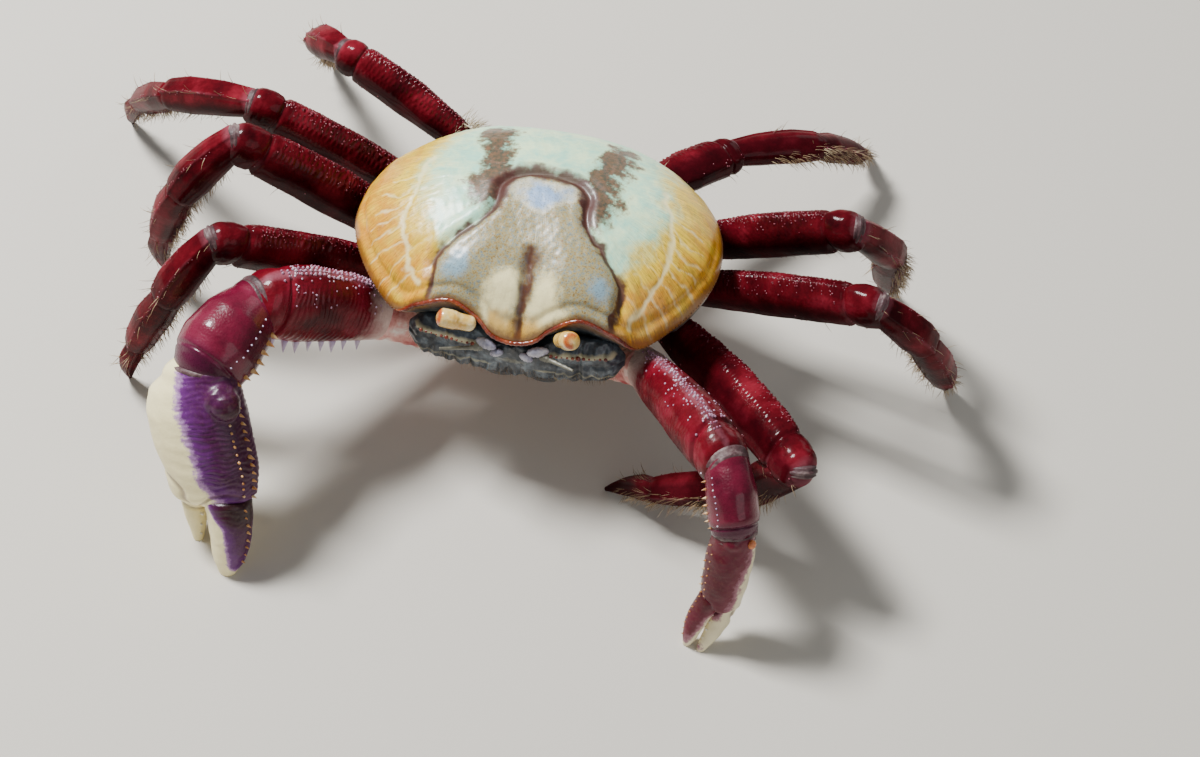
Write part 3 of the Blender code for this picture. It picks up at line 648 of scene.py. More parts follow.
materials = {
    "carapace": carapaceMaterial(),
    # deep crimson lacquer, with painted shade: a near-black tint on the lower half; its low IOR keeps the steep sides
    # dark under a thin gloss
    "leg": lacquer("crimsonLegShellShadedBelow", ("#2c050a", "#540b15", "#7a1d2a"), 0.36, 0.18, 9, (
        ("upper", 0.5, ((0.0, 0.6), (0.45, 0.0)), "#1b0206"), paleTint("#a35a68", 0.5)), ior=1.04),
    # rosy grains along the ridges, their pink partly a painted highlight lighter than the shell; they also catch the
    # light in their gloss
    "legGrain": lacquer("legGrainPaintedGlint", ("#561522", "#7c2c3b", "#a05866"), 0.28, 0.3, 3),
    # redder shell of the claw arms, glossy, fading to pink at the root; its tones are set a little darker as painted
    # shade
    "arm": lacquer("mauveArmShell", ("#3f020b", "#660a19", "#841c30"), 0.38, 0.24, 9, (
        ("along", 0.5, ((0.02, 0.9), (0.25, 0.0)), "#f0d3ca"), paleTint("#c08a9c", 0.6)), ior=1.18),
    # pearls of a chalky lilac that stand out from the red
    "armGrain": lacquer("lilacArmGrain", ("#8c4a64", "#b48aa4", "#dcc8d6"), 0.32, 0.3, 3),
    # plum shell with a wet gloss, almost black violet at the hand's end
    "wrist": lacquer("plumWristShell", ("#42051a", "#64112a", "#7c2640"), 0.3, 0.38, 12, (
        paleTint("#2c0628", 0.65),), ior=1.25),
    # pale horn of the large cones, and warm translucent horn of the small ones
    "spine": lacquer("lilacSpineShell", ("#a58ab4", "#c9b6d2", "#ebe2e8"), 0.3, 0.4, 3),
    "creamSpine": lacquer("amberSpineShell", ("#a5642a", "#d39a5a", "#ecd3a4"), 0.33, 0.3, 3),
    # matt skin in the joints: grey, amber at the finger's hinge, flesh pink at the arms' roots
    "membrane": lacquer("greyJointMembrane", ("#2e1418", "#4f3236", "#857370"), 0.55, 0.0, 3),
    "amberMembrane": lacquer("amberJointMembrane", ("#a8481c", "#d97f42", "#eeb486"), 0.4, 0.3, 3),
    "rootMembrane": lacquer("pinkRootMembrane", ("#b5484a", "#e8aaa0", "#fbf0e8"), 0.5, 0.1, 5),
    # satin cream plates of the underside with russet seams
    "under": lacquer("creamSternumShell", ("#7a4a3a", "#bb9b7c", "#dccbb0"), 0.45, 0.15, 14, (
        paleTint("#4f1f18", 0.7),)),
    # wet slate of the face with cream ridges
    "mouth": lacquer("slateMouthShell", ("#101318", "#343d46", "#76838c"), 0.4, 0.2, 4, (
        paleTint("#cfc59c", 0.75),)),
    # polished russet bead, and the duller brown grains of the side margin
    "rim": lacquer("russetRimShell", ("#4a130a", "#74260f", "#a4502c"), 0.28, 0.55, 4),
    "marginGrain": lacquer("brownMarginShell", ("#3d1a0c", "#6b3a1c", "#9a6a35"), 0.35, 0.3, 4),
    # glossy cream and amber eyestalk with an orange end
    "eye": lacquer("creamEyestalk", ("#d99a2c", "#eec566", "#f8e6b0"), 0.22, 0.8, 4, (paleTint("#b8490c", 0.95),)),
    # silvery sheen of the small feelers
    "plate": lacquer("silverFeelerPlate", ("#8d8ba0", "#bdbac6", "#e8e6ea"), 0.25, 0.5, 3),
    # dry bristles, straw on the legs and whitish in the rear tufts
    "seta": lacquer("strawBristle", ("#5a452e", "#a08460", "#d9c8a4"), 0.5, 0.0, 3),
    "paleSeta": lacquer("whiteBristle", ("#b9a584", "#dccfb2", "#f3ecdc"), 0.5, 0.0, 3),
    # smooth ivory of the fingers' teeth
    "tooth": lacquer("ivoryFingerTooth", ("#d5cbb2", "#ebe4d0", "#f8f4ea"), 0.3, 0.4, 3),
    "majorHand": handMaterial("porcelainMajorHand", ("#fcefb8", "#b68cbc", "#622870", "#491344", "#370822",
                                                     "#290610")),
    "minorHand": handMaterial("porcelainMinorHand", ("#efe3bd", "#a4717f", "#66102b", "#54081f", "#430615",
                                                     "#28040d")),
}
print("materials made")
rim = makeCarapace()


# the russet bead along the front and over the orbits, and the grains of the side margin

frontRim = {"radius": 0.5, "reach": 26.5, "sideStart": 25.5, "grainStep": 0.8, "grainSize": 0.34}


def makeFrontRim():
    keep = rim[(np.abs(rim[:, 0]) < frontRim["reach"]) & (rim[:, 1] < 0)]
    keep = keep[np.argsort(keep[:, 0])]
    line = crabOrigin + keep * mm
    ways = unit(np.gradient(line, axis=0))
    across = unit(np.cross(ways, straightUp))
    thin = np.clip((frontRim["reach"] - np.abs(keep[:, 0])) / 3, 0.08, 1)
    thin = thin * (1 + 0.12 * np.sin(np.arange(len(keep)) * 1.9))
    points = tubeGrid(line, frontRim["radius"] * mm * thin, across[:, None] * 1.05,
                      np.cross(across, ways)[:, None], 18)
    standFor(makePiece("frontRimBead", [gridPart(points)], "rim"), "carapace_shell")
    spots = []
    for sign in (-1, 1):
        edge = rim[(rim[:, 0] * sign > frontRim["sideStart"]) & (rim[:, 1] < 10)]
        edge = edge[np.argsort(edge[:, 1])]
        length = np.cumsum(np.linalg.norm(np.diff(edge, axis=0, prepend=edge[:1]), axis=1))
        for at in np.arange(0, length[-1], frontRim["grainStep"]):
            x, y, z = (np.interp(at, length, edge[:, k]) for k in range(3))
            spots.append((crabPoint(x, y, z), unit((x, y - 5, 4)), 1 - 0.6 * at / length[-1]))
    pointRow("marginGrains", spots, "grain", "marginGrain", frontRim["grainSize"], 4, 0.6, "carapace_shell")


makeFrontRim()


# trunk, tail flap and face

trunk = {
    "levels": ((14.0, 15.0, -10.0, 22.0), (18.0, 19.5, -13.5, 26.0), (24.0, 22.0, -18.5, 30.0),
               (31.0, 29.0, -21.8, 31.0), (37.2, 35.0, -22.5, 31.0)),  # height, half width, front, rear
    "seams": (-9, 0.5, 9.5, 18.5), "seamHalf": 0.55, "seamDepth": 0.7, "creaseHeight": 33, "creaseDepth": 0.4,
    "tail": ((-7, -3, 8, 14, 20), (2.2, 4.0, 5.0, 8.5, 9.5)),  # place from front to rear, half width
    "tailSeams": (-4, 1, 6, 11, 15.5),
}


def makeTrunk():
    levels = np.array(trunk["levels"])
    z = np.linspace(levels[0, 0], levels[-1, 0], 46)
    half, front, rear = (np.interp(z, levels[:, 0], levels[:, k]) for k in (1, 2, 3))
    pulls = np.array((0.05, 0.2, 0.4, 0.6, 0.75, 0.88, 0.96))  # rings that close the top and the bottom
    pull = np.concatenate([pulls, np.ones(len(z)), pulls[::-1]])[:, None]
    z, half, front, rear = (np.pad(v, len(pulls), mode="edge")[:, None] for v in (z, half, front, rear))
    c, s = (np.sign(wave) * np.abs(wave) ** 0.8 for wave in (np.cos(turnOf(300)), np.sin(turnOf(300))))
    x = half * c * pull
    y = (front + rear) / 2 + s * ((rear - front) / 2) * pull
    points = np.stack([x, y, np.broadcast_to(z, x.shape)], -1)
    low = step(31, 23, z)
    seams = np.zeros(x.shape)
    for seam in trunk["seams"]:
        line = bell(y - seam - np.abs(x) * 0.12, trunk["seamHalf"])
        seams = np.maximum(seams, line * step(4, 7, np.abs(x)))
    crease = bell(z - trunk["creaseHeight"] - y * 0.06, 0.5) * (1 - low)
    away = np.stack([x / 30, (y - 4) / 30, np.broadcast_to(-low * 0.9, x.shape)], -1)
    away /= np.linalg.norm(away, axis=-1, keepdims=True) + 1e-6
    lift = -trunk["seamDepth"] * seams * low - trunk["creaseDepth"] * crease + 0.1 * ripple(points * mm, 4, 8)
    points = points + away * (lift * step(0.0, 0.3, pull) * step(37.2, 36.4, z))[..., None]
    marks = {"pale": np.clip(seams * low + crease * 0.6 + 0.8 * step(30, 34, points[..., 2]), 0, 1)}
    standFor(makePiece("trunkShell", [gridPart(crabOrigin + points * mm, marks)], "under"),
             "underside_shell", "thorax")


def makeTail():
    places = np.linspace(trunk["tail"][0][0], trunk["tail"][0][-1], 60)[:, None]
    half = np.interp(places, *trunk["tail"])
    low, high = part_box("abdomen")
    seam = np.max([bell(places - at, 0.5) for at in trunk["tailSeams"]], axis=0)
    ends = np.sqrt(np.clip(1 - ((places - 6.5) / 13.7) ** 8, 0.02, 1))
    x = half * ends * (1 - 0.03 * seam) * np.cos(turnOf(60))
    z = (1.0 - 0.3 * seam) * ends * np.sin(turnOf(60)) + (low.z + high.z) / 2 / mm
    points = np.stack([x, np.broadcast_to(places, x.shape), z], -1)
    marks = {"pale": np.broadcast_to(seam, x.shape)}
    standFor(makePiece("tailFlap", [gridPart(crabOrigin + points * mm, marks)], "under"),
             "underside_shell", "abdomen")


face = {
    "plateSpan": 23.5, "middle": 36.0, "low": 31.4, "high": 40.3, "front": -24.3, "sweep": 3.5,
    "toothStep": 1.15, "toothSize": 0.62, "hairPerMm": 1.6, "hairLength": 1.5,
    # place of a small feeler's plate at each side, which way it points and its half sizes
    "feelers": (((5.6, -27.2, 40.6), (1, 0.25, 0.1), (2.4, 1.0, 1.3)),
                ((3.2, -27.8, 38.9), (1, 0.0, -0.5), (1.6, 0.8, 0.9))),
}


def makeFace():
    x = np.linspace(-face["plateSpan"], face["plateSpan"], 170)[:, None]
    aside, back = np.abs(x), face["sweep"] * (x / 27) ** 2
    rest = face["plateSpan"] - aside
    tall, thick = np.minimum(7.4 - 2.4 * (x / 27) ** 2, 1.6 + 1.2 * rest), np.minimum(3.0, 1.0 + rest)
    turn = turnOf(90)
    y = face["front"] + back - thick * np.cos(turn)
    cap = face["high"] + 2.3 * step(4, 9, aside) - 1.2 * step(19, 23, aside)
    z = np.clip(face["middle"] + tall * np.sin(turn), face["low"], cap)
    outward = step(0.0, 0.4, np.cos(turn))
    ridge = bell(z - 39.8, 0.7) * outward * step(5.5, 7.5, aside)
    lower = bell(z - 34.9 + 0.06 * aside, 0.4) * outward * step(3, 6, aside)
    slit = bell(z - 37.6 + 0.05 * aside, 0.55) * outward * step(5, 8, aside)
    slits = (bell(aside - 9.2, 0.45) + bell(aside - 14.5, 0.4)) * outward
    knobs = 0.35 * np.sin(x * 2.1) * bell(z - 33, 1.6) * outward
    x = np.broadcast_to(x, y.shape)
    uneven = 0.18 * ripple(np.stack([x, y, z], -1) * mm, 2.4, 41) * outward
    y = y - 0.7 * ridge - 0.35 * lower + 0.55 * slit + 0.4 * np.clip(slits, 0, 1) - knobs - uneven
    marks = {"pale": np.clip(ridge + 0.7 * lower + 0.5 * bell(aside, 4) * outward * bell(z - 36.5, 1.0), 0, 1),
             "hair": outward * step(35.5, 33.5, z) * (1 - lower),
             "lie": np.broadcast_to(np.array((0.0, -0.4, -1.0)), y.shape + (3,)),
             "rootPlace": np.stack([(x + 24) / 48, (z - 30) / 14 * 0.9, 0 * z], -1)}
    part = gridPart(crabOrigin + np.stack([x, y, z], -1) * mm, marks)
    plate = makePiece("facePlate", [part], "mouth")
    dropMarks(plate.data, ("lie", "rootPlace", "hair"))
    standFor(plate, "mouth_shell", "face")
    down = grow("faceSetae", makePiece("faceHost", [part], "mouth"), scatter, "seta", {
        "Shape": shapes["bristle"], "Mark": "hair", "Per square mm": face["hairPerMm"],
        "Size": face["hairLength"] * mm, "Least size": 0.4, "Lean": 0.9, "Untidy": 0.5, "Seed": 9})
    standFor(down, "mouth_shell")
    spots = [(crabPoint(sign * at, -27.9 + face["sweep"] * (at / 27) ** 2, 40.2), unit((sign * 0.1, -0.8, 0.5)),
              0.8 + 0.4 * math.sin(at)) for sign in (-1, 1) for at in np.arange(8.5, 21, face["toothStep"])]
    pointRow("orbitTeeth", spots, "grain", "rim", face["toothSize"], 6, 0.7, "mouth_shell")
    folds = [bladder(crabPoint(*(mirror * place)), unit(mirror * way), straightUp, *half)
             for mirror in np.array(((-1, 1, 1), (1, 1, 1))) for place, way, half in face["feelers"]]
    standFor(makePiece("smallFeelers", folds, "plate"), "mouth_shell")


def plateRelief(u, angle, points, length):
    groove = bell(np.sin(angle) * 0.9 + 0.25, 0.12) * (np.cos(angle) > 0) * step(0.1, 0.25, u) * step(0.95, 0.8, u)
    joint = bell(u - 0.3, 0.02)
    return -0.5 * groove - 0.5 * joint, {"pale": np.clip(bell(np.abs(np.sin(angle)) - 1, 0.25) + joint * 0.4, 0, 1)}


mouthplate = ((0, 1.2, 0.7), (0.2, 1.4, 0.92), (0.5, 1.5, 1.0), (0.85, 1.4, 0.8), (1, 1.1, 0.6))


def makeMouthparts():  # a plate's thickness in mm and its share of the solid's width
    for side in "lr":
        low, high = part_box("maxilliped_" + side)
        middle, wide = (low.x + high.x) / 2, (high.x - low.x) / 2 / mm
        start = np.array((middle, low.y + 1.7 * mm, high.z - 1.0 * mm))
        end = np.array((middle, high.y - 2.6 * mm, low.z + 0.8 * mm))
        shape = [(place, deep, wide * share) for place, deep, share in mouthplate]
        points, marks = limbGrid(start, end, np.array((1.0, 0, 0)), shape, 60, 56, relief=plateRelief)
        standFor(makePiece("mouthplate_" + side, [gridPart(points, marks)], "mouth"), "mouth_shell",
                 "maxilliped_" + side)


def stalkRelief(u, angle, points, length):
    ring = bell((u - 0.55) * length, 0.35)
    past = (u - 1) * length
    spot = np.maximum(0.95 * bell(past - 0.9, 0.5) * step(-0.9, -0.2, np.cos(angle)), 0.4 * ring)
    return 0.06 * ring, {"pale": spot}


eyes = {"stalk": ((0, 1.7, 1.7), (0.4, 1.8, 1.8), (0.7, 2.2, 2.1), (1, 2.1, 2.0)),
        "r": ((-9.2, -27.0, 46.0), (-14.8, -28.2, 48.0)), "l": ((10.4, -26.4, 44.8), (13, -29.6, 48.8))}
antennae = {"radius": ((0, 0.3, 0.45, 1), (0.9, 0.85, 0.5, 0.28)),
            "r": ((-6.5, -27.2, 39.5), (-9, -28.4, 39.8), (-15, -30.5, 40.5)),
            "l": ((6.5, -27.2, 39.5), (9, -28.4, 39.8), (14, -31, 41))}


def makeEyes():
    for side in "rl":
        base, tip = eyes[side]
        points, marks = limbGrid(crabPoint(*base), crabPoint(*tip), np.array((0, 1, 0.4)), eyes["stalk"], 60, 48,
                                 (0.8, 0.6), relief=stalkRelief)
        standFor(makePiece("eyestalk_" + side, [gridPart(points, marks)], "eye"), "eye", "eye_" + side)
    for side in "rl":
        line = smoothLine([crabPoint(*place) for place in antennae[side]], 14)
        size = np.interp(np.linspace(0, 1, len(line)), *antennae["radius"]) * mm
        size = size * (1 + 0.1 * np.sin(np.arange(len(line)) * 2.1))
        way = unit(line[-1] - line[0])
        across = unit(np.cross(way, straightUp))
        points = tubeGrid(line, size, across, np.cross(across, way), 14)
        piece = makePiece("feeler_" + side, [gridPart(points, {"pale": np.full(points.shape[:2], 0.5)})], "mouth")
        standFor(piece, "mouth_shell", "antenna_" + side)


makeTrunk()
makeTail()
makeFace()
makeMouthparts()
makeEyes()
print("trunk and face made")


# walking legs: place along the segment, half depth and half thickness in mm

legs = {
    "merus": ((0, 3.2, 2.7), (0.16, 4.6, 3.4), (0.5, 5.8, 3.9), (0.86, 5.4, 4.1), (0.92, 4.8, 3.8), (1, 4.9, 4.1)),
    "carpus": ((0, 3.5, 3.1), (0.3, 4.3, 3.7), (0.72, 4.7, 3.9), (1, 3.9, 3.4)),
    "propodus": ((0, 3.5, 3.0), (0.3, 4.2, 3.3), (0.8, 3.6, 2.8), (1, 2.9, 2.3)),
    "dactylus": ((0, 2.5, 2.0), (0.25, 2.7, 2.0), (0.6, 1.9, 1.5), (0.88, 1.0, 0.9), (1, 0.5, 0.5)),
    "coxa": ((0, 3.6, 3.2), (0.5, 4.0, 3.5), (1, 3.3, 2.8)),
    "rows": {"merus": 170, "carpus": 84, "propodus": 84, "dactylus": 84, "coxa": 40},
    "scale": (1.0, 1.0, 0.96, 0.88), "roll": (0, 15, 28, 40),
    "bow": {"merus": 0.8, "carpus": 0.6, "propodus": 0.4, "dactylus": 0.8, "coxa": 0.0},
    "pearl": 1.15, "pearlTurn": 0.42,  # spacing of the granular ridges in mm, and their width round the limb
    "grainPerMm": 1.3, "hairPerMm": 2.4, "tuftPerMm": 5.0, "grain": 0.26, "hair": 3.4, "tuft": 4.6,
}


def keels(angle, places, width):  # ridges that run along a limb at a few turns round it
    return sum(bell(np.abs((angle - place + math.pi) % wholeTurn - math.pi), width) for place in places)


# a relief takes the place along a limb, the turn round it, its points and its length in mm, and gives lift and marks
def merusRelief(u, angle, points, length):
    upper = np.cos(angle)
    ring = bell(u - 0.885, 0.011)
    shift = 0.5 * np.round(angle / legs["pearlTurn"]) + 0.35 * ripple(points, 5, 11, 1)
    beads = np.clip(np.sin((u * length / legs["pearl"] + shift) * wholeTurn), -0.2, 1)
    beads = beads * (0.35 + 0.65 * np.abs(np.cos(angle / legs["pearlTurn"] * math.pi)))
    beads = beads * step(0.0, 0.75, upper) * step(0.03, 0.12, u) * step(0.88, 0.82, u)
    crest, sides = keels(angle, (0,), 0.28), keels(angle, (2.5, -2.5), 0.25)
    lift = (0.2 + 0.16 * crest) * beads + 0.5 * crest * step(0.98, 0.86, u) + 0.35 * sides - 0.6 * ring
    lift = lift + 0.35 * bell(u - 0.94, 0.03) - 0.7 * step(0.98, 1.03, u) + 0.05 * ripple(points, 8, 14, 2)
    grain = (1.2 * crest + 0.15 * step(0.5, 0.9, upper)) * step(0.05, 0.2, u) * step(0.9, 0.86, u) + 0.25 * sides
    hair = keels(angle, (math.pi,), 0.35) * step(0.3, 0.7, u) * 0.12
    pale = 0.55 * np.clip(beads, 0, 1) * (0.5 + 0.5 * crest) + 0.35 * ring + 0.5 * step(0.99, 1.03, u)
    return lift, {"grain": grain, "hair": hair, "pale": pale}


def carpusRelief(u, angle, points, length):
    ridges = keels(angle, (0.6, -0.6), 0.13)
    lift = 0.4 * ridges - 0.25 * keels(angle, (0,), 0.3) - 0.5 * step(0.95, 1.05, u)
    fringe = keels(angle, (math.pi,), 0.5) * step(0.3, 0.6, u)
    return lift, {"grain": ridges * 0.6 * step(0.1, 0.3, u), "hair": 0.1 * ridges + fringe,
                  "pale": 0.5 * ridges * step(0.05, 0.3, u) + 0.75 * step(0.12, -0.05, u)}


def propodusRelief(u, angle, points, length):
    ridges = keels(angle, (0.6, -0.6, 2.4, -2.4), 0.12)
    lift = 0.32 * ridges - 0.2 * keels(angle, (0,), 0.3) - 0.4 * step(0.95, 1.05, u)
    fringe = keels(angle, (math.pi,), 0.6) + 0.6 * keels(angle, (2.4,), 0.15)
    return lift, {"grain": ridges * 0.5, "hair": fringe + 0.12 * ridges, "pale": 0.42 * ridges}


def dactylusRelief(u, angle, points, length):
    ridges = keels(angle, (0, 1.05, 2.1, math.pi, -2.1, -1.05), 0.15)
    fade = step(1.0, 0.7, u)
    hair = (0.5 * ridges + 0.6 * keels(angle, (math.pi,), 0.8)) * step(0.72, 0.4, u)
    return 0.26 * ridges * fade, {"grain": 0 * u, "hair": hair, "pale": 0.3 * ridges * fade + 0.3 * step(0.9, 1, u)}


def coxaRelief(u, angle, points, length):
    hair = 0.3 * step(0.2, 0.6, u) * (np.cos(angle) > 0.2)
    return np.sin(u * length * 2.2) * 0.12, {"grain": 0 * u, "hair": hair, "pale": 0 * u + 0.2}


reliefs = {"merus": merusRelief, "carpus": carpusRelief, "propodus": propodusRelief, "dactylus": dactylusRelief,
           "coxa": coxaRelief}


def leanUp(side, axis, degrees):  # turn a sideways direction about a limb's axis until it leans upwards
    cosine, sine = math.cos(math.radians(degrees)), math.sin(math.radians(degrees))
    return max((side * cosine + np.cross(axis, side) * sine * sign for sign in (-1, 1)), key=lambda way: way[2])


def atlas(marks, cell, cells=7):  # where each place lies on a flat unwrap of the limbs, one cell for each piece
    turn = np.arctan2(marks["front"], marks["upper"]) / wholeTurn % 1
    u = np.clip(marks["along"], 0, 1)
    return np.stack([(cell % cells + 0.04 + 0.9 * turn) / cells, (cell // cells + 0.04 + 0.9 * u) / cells, 0 * u], -1)


def limbPiece(name, part, look, slot, node):
    piece = makePiece(name, [part], look)
    dropMarks(piece.data, ("lie", "rootPlace", "grain", "hair", "tuft"))
    standFor(piece, slot, node)


def makeLeg(name, pair, cells):
    kinds = ("coxa", "merus", "carpus", "propodus", "dactylus")
    nodes = [name + "_" + kind for kind in kinds]
    inner = np.array(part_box(nodes[0])).mean(0)
    joints = [jointBetween(a, b) for a, b in zip(nodes, nodes[1:])] + [tipOf(nodes[-1])]
    joints = [joints[0] + (inner - joints[0]) * 1.7] + joints  # the root lies inside the thorax
    axes = [unit(b - a) for a, b in zip(joints, joints[1:])]
    side = unit(np.cross(joints[2] - joints[1], joints[4] - joints[2]))
    side = leanUp(side if side[1] < 0 else -side, axes[1], legs["roll"][pair])
    scale = legs["scale"][pair]
    hosts, skins = [], []
    for index, kind in enumerate(kinds):
        shape = [(place, deep * scale, thick * scale) for place, deep, thick in legs[kind]]
        last = kind == "dactylus"
        end = joints[index + 1] + (0, 0, 0.35 * mm if last else 0)
        points, marks = limbGrid(joints[index], end, side, shape, legs["rows"][kind], 72,
                                 (0.8, 0.6 if last else 0.5), legs["bow"][kind], reliefs[kind])
        points[..., 2] = np.maximum(points[..., 2], 0)
        marks["rootPlace"] = atlas(marks, next(cells))
        marks["tuft"] = step(0.17, 0.02, marks["along"]) * (marks["upper"] > -0.2) * (kind == "merus")
        hosts.append(gridPart(points, marks))
        limbPiece(nodes[index] + "Shell", hosts[-1], "rootMembrane" if kind == "coxa" else "leg", "leg_shell",
                  nodes[index])
    for joint, kind, row in ((1, "merus", 0), (2, "merus", -1), (3, "carpus", -1), (4, "propodus", -1)):
        deep, thick = (value * scale for value in legs[kind][row][1:3])
        skins.append(bladder(joints[joint], unit(axes[joint - 1] + axes[joint]), side, deep * 0.45, deep * 0.8,
                             thick * 0.82))
    return hosts, skins


def makeLegs():
    skins = []
    for side in "rl":
        cells = iter(range(49))
        made = [makeLeg("leg_%s%d" % (side, pair + 1), pair, cells) for pair in range(4)]
        parts = [part for hosts, folds in made for part in hosts]
        skins += [fold for hosts, folds in made for fold in folds]
        rearMerus = [parts[16]]
        for name, hosts, mark, shape, look, count, least, lean, untidy, seed in (
                ("legGrains_", parts, "grain", "grain", "legGrain", legs["grainPerMm"], 0.5, 0.0, 0.1, 5),
                ("legSetae_", parts, "hair", "bristle", "seta", legs["hairPerMm"], 0.3, 0.9, 0.35, 5),
                ("rearTuft_", rearMerus, "tuft", "bristle", "paleSeta", legs["tuftPerMm"], 0.4, 0.15, 0.55, 6)):
            piece = grow(name + side, makePiece(name + side + "Host", hosts, "leg"), scatter, look, {
                "Shape": shapes[shape], "Mark": mark, "Per square mm": count, "Size": legs[mark] * mm,
                "Least size": least, "Lean": lean, "Untidy": untidy, "Seed": seed})
            standFor(piece, "leg_shell")
    standFor(makePiece("legMembranes", skins, "membrane"), "leg_shell")


makeLegs()
print("legs made")


# claws: a palm's rows also shift it sideways; edges part the cream from the violet, forward and across in mm

claws = {
    "claw_r": {
        "face": (-0.36, -0.62, 0.70), "inward": (1.0, -0.5, -0.1), "look": "majorHand",
        "coxa": ((0, 5.5, 4.5), (1, 5.5, 4.5)),
        "merus": ((0, 5.8, 4.6), (0.3, 8.0, 6.0), (0.65, 9.4, 6.8), (0.86, 9.0, 6.6), (0.91, 8.2, 6.3), (1, 8.0, 6.6)),
        "carpus": ((0, 6.0, 5.8), (0.3, 8.6, 8.2), (0.65, 9.4, 9.0), (0.9, 8.6, 8.0), (1, 7.4, 7.0)),
        "palm": ((0, 8.6, 6.2, -0.5), (0.12, 10.6, 7.6, -2.3), (0.3, 11.5, 8.8, -2.7), (0.55, 11.5, 8.8, -2.0),
                 (0.8, 11.0, 8.0, -0.8), (1, 10.4, 6.6, -0.9)),
        "pollex": ((0, 5.4, 5.0), (0.4, 4.1, 3.8), (0.75, 2.5, 2.5), (1, 1.2, 1.2)),
        "dactyl": ((0, 5.3, 5.2), (0.3, 5.0, 4.6), (0.65, 4.4, 3.8), (0.88, 3.4, 2.9), (1, 2.2, 2.0)),
        "hingeHalf": 6.1, "shift": (-7.2, 7.6), "tip": -2.0, "wrist": (-1.7, -2.7, -2.0),
        "palmStart": (-1.2, -1.8, -1.3), "spread": (4.3, 6.9), "bow": 0.8, "voxel": 0.42,
        "knob": 1.0, "knobPlace": (5.2, 5.6, 4.2), "knobLift": (1.8, 2.9, 2.2),
        "spineRows": 14, "spine": 1.0, "pearl": 0.72, "cone": 2.6, "lowerCones": 9, "grain": 0.34,
        "palmEdge": ((-36, -29, -21, -11, -3, 3, 8), (-2.9, -1.2, 0.7, 2.4, 3.2, 6.0, 9)),
        "fingerEdge": ((-2, 1, 3.5, 8, 15), (-1.0, 0.2, 2.4, 2.9, 2.4)), "steep": 2.4, "ribs": 0.14,
    },
    "claw_l": {
        "face": (0.50, -0.55, 0.67), "inward": (-1.0, -0.5, -0.1), "look": "minorHand",
        "coxa": ((0, 4.8, 4.2), (1, 4.8, 4.2)),
        "merus": ((0, 5.0, 4.2), (0.3, 6.6, 5.0), (0.7, 7.6, 5.8), (0.86, 7.2, 5.8), (0.91, 6.4, 5.4), (1, 6.4, 5.4)),
        "carpus": ((0, 4.9, 4.6), (0.4, 6.2, 5.4), (0.8, 6.2, 5.4), (1, 5.2, 4.7)),
        "palm": ((0, 4.2, 4.2, 0), (0.3, 5.2, 4.8, 0), (0.75, 5.0, 4.6, 0), (1, 4.4, 4.0, 0)),
        "pollex": ((0, 2.7, 2.7), (0.5, 2.3, 2.2), (0.85, 1.5, 1.5), (1, 0.9, 0.9)),
        "dactyl": ((0, 2.7, 2.7), (0.5, 2.4, 2.3), (0.85, 1.6, 1.6), (1, 1.0, 1.0)),
        "hingeHalf": 3.15, "shift": (0.0, -3.6), "tip": 0.0, "wrist": (-0.5, -1.0, -0.8),
        "palmStart": (0.0, 0.0, 0.0), "spread": (2.1, 2.1), "bow": 0.7, "voxel": 0.3,
        "knob": 0.5, "knobPlace": (3.0, 1.0, 3.2), "knobLift": (0.0, 0.0, 0.0),
        "spineRows": 9, "spine": 0.62, "pearl": 0.6, "cone": 1.4, "lowerCones": 7, "grain": 0.36,
        "palmEdge": ((-14, -6, 0, 3, 6), (-2.4, -1.7, -0.9, 1.0, 3.5)),
        "fingerEdge": ((0, 4, 10), (-2.0, 0.3, 0.9)), "steep": 1.6, "ribs": 0.02,
    },
}


def armRelief(u, angle, points, length):
    ring, crest = bell(u - 0.87, 0.013), keels(angle, (0,), 0.35)
    wave = np.sin((u * length / 1.25 + 0.3 * ripple(points, 6, 12, 1)) * wholeTurn) * step(0.1, 0.25, u)
    sides = keels(angle, (math.pi / 2, -math.pi / 2), 0.8) * step(0.87, 0.8, u)
    broken = 0.5 + 0.5 * np.clip(ripple(points, 2.6, 15, 1) + 0.4, 0, 1)
    lift = 0.16 * wave * sides * broken + 0.6 * crest * step(0.95, 0.85, u) - 0.7 * ring + 0.3 * bell(u - 0.94, 0.03)
    lift = lift - 0.8 * step(0.98, 1.04, u) + 0.1 * ripple(points, 11, 16, 2)
    grain = (0.9 * crest + 0.25 * step(0.3, 0.9, np.cos(angle))) * step(0.02, 0.15, u) * step(0.9, 0.85, u)
    return lift, {"grain": grain, "pale": 0.4 * np.clip(wave, 0, 1) * sides * broken + 0.5 * crest}


def wristRelief(u, angle, points, length):
    lift = -0.4 * bell(u - 0.9, 0.02) + 0.12 * ripple(points, 12, 17, 2) - 0.6 * step(1.0, 1.08, u)
    return lift, {"pale": 0.95 * step(0.7, 1.0, u)}


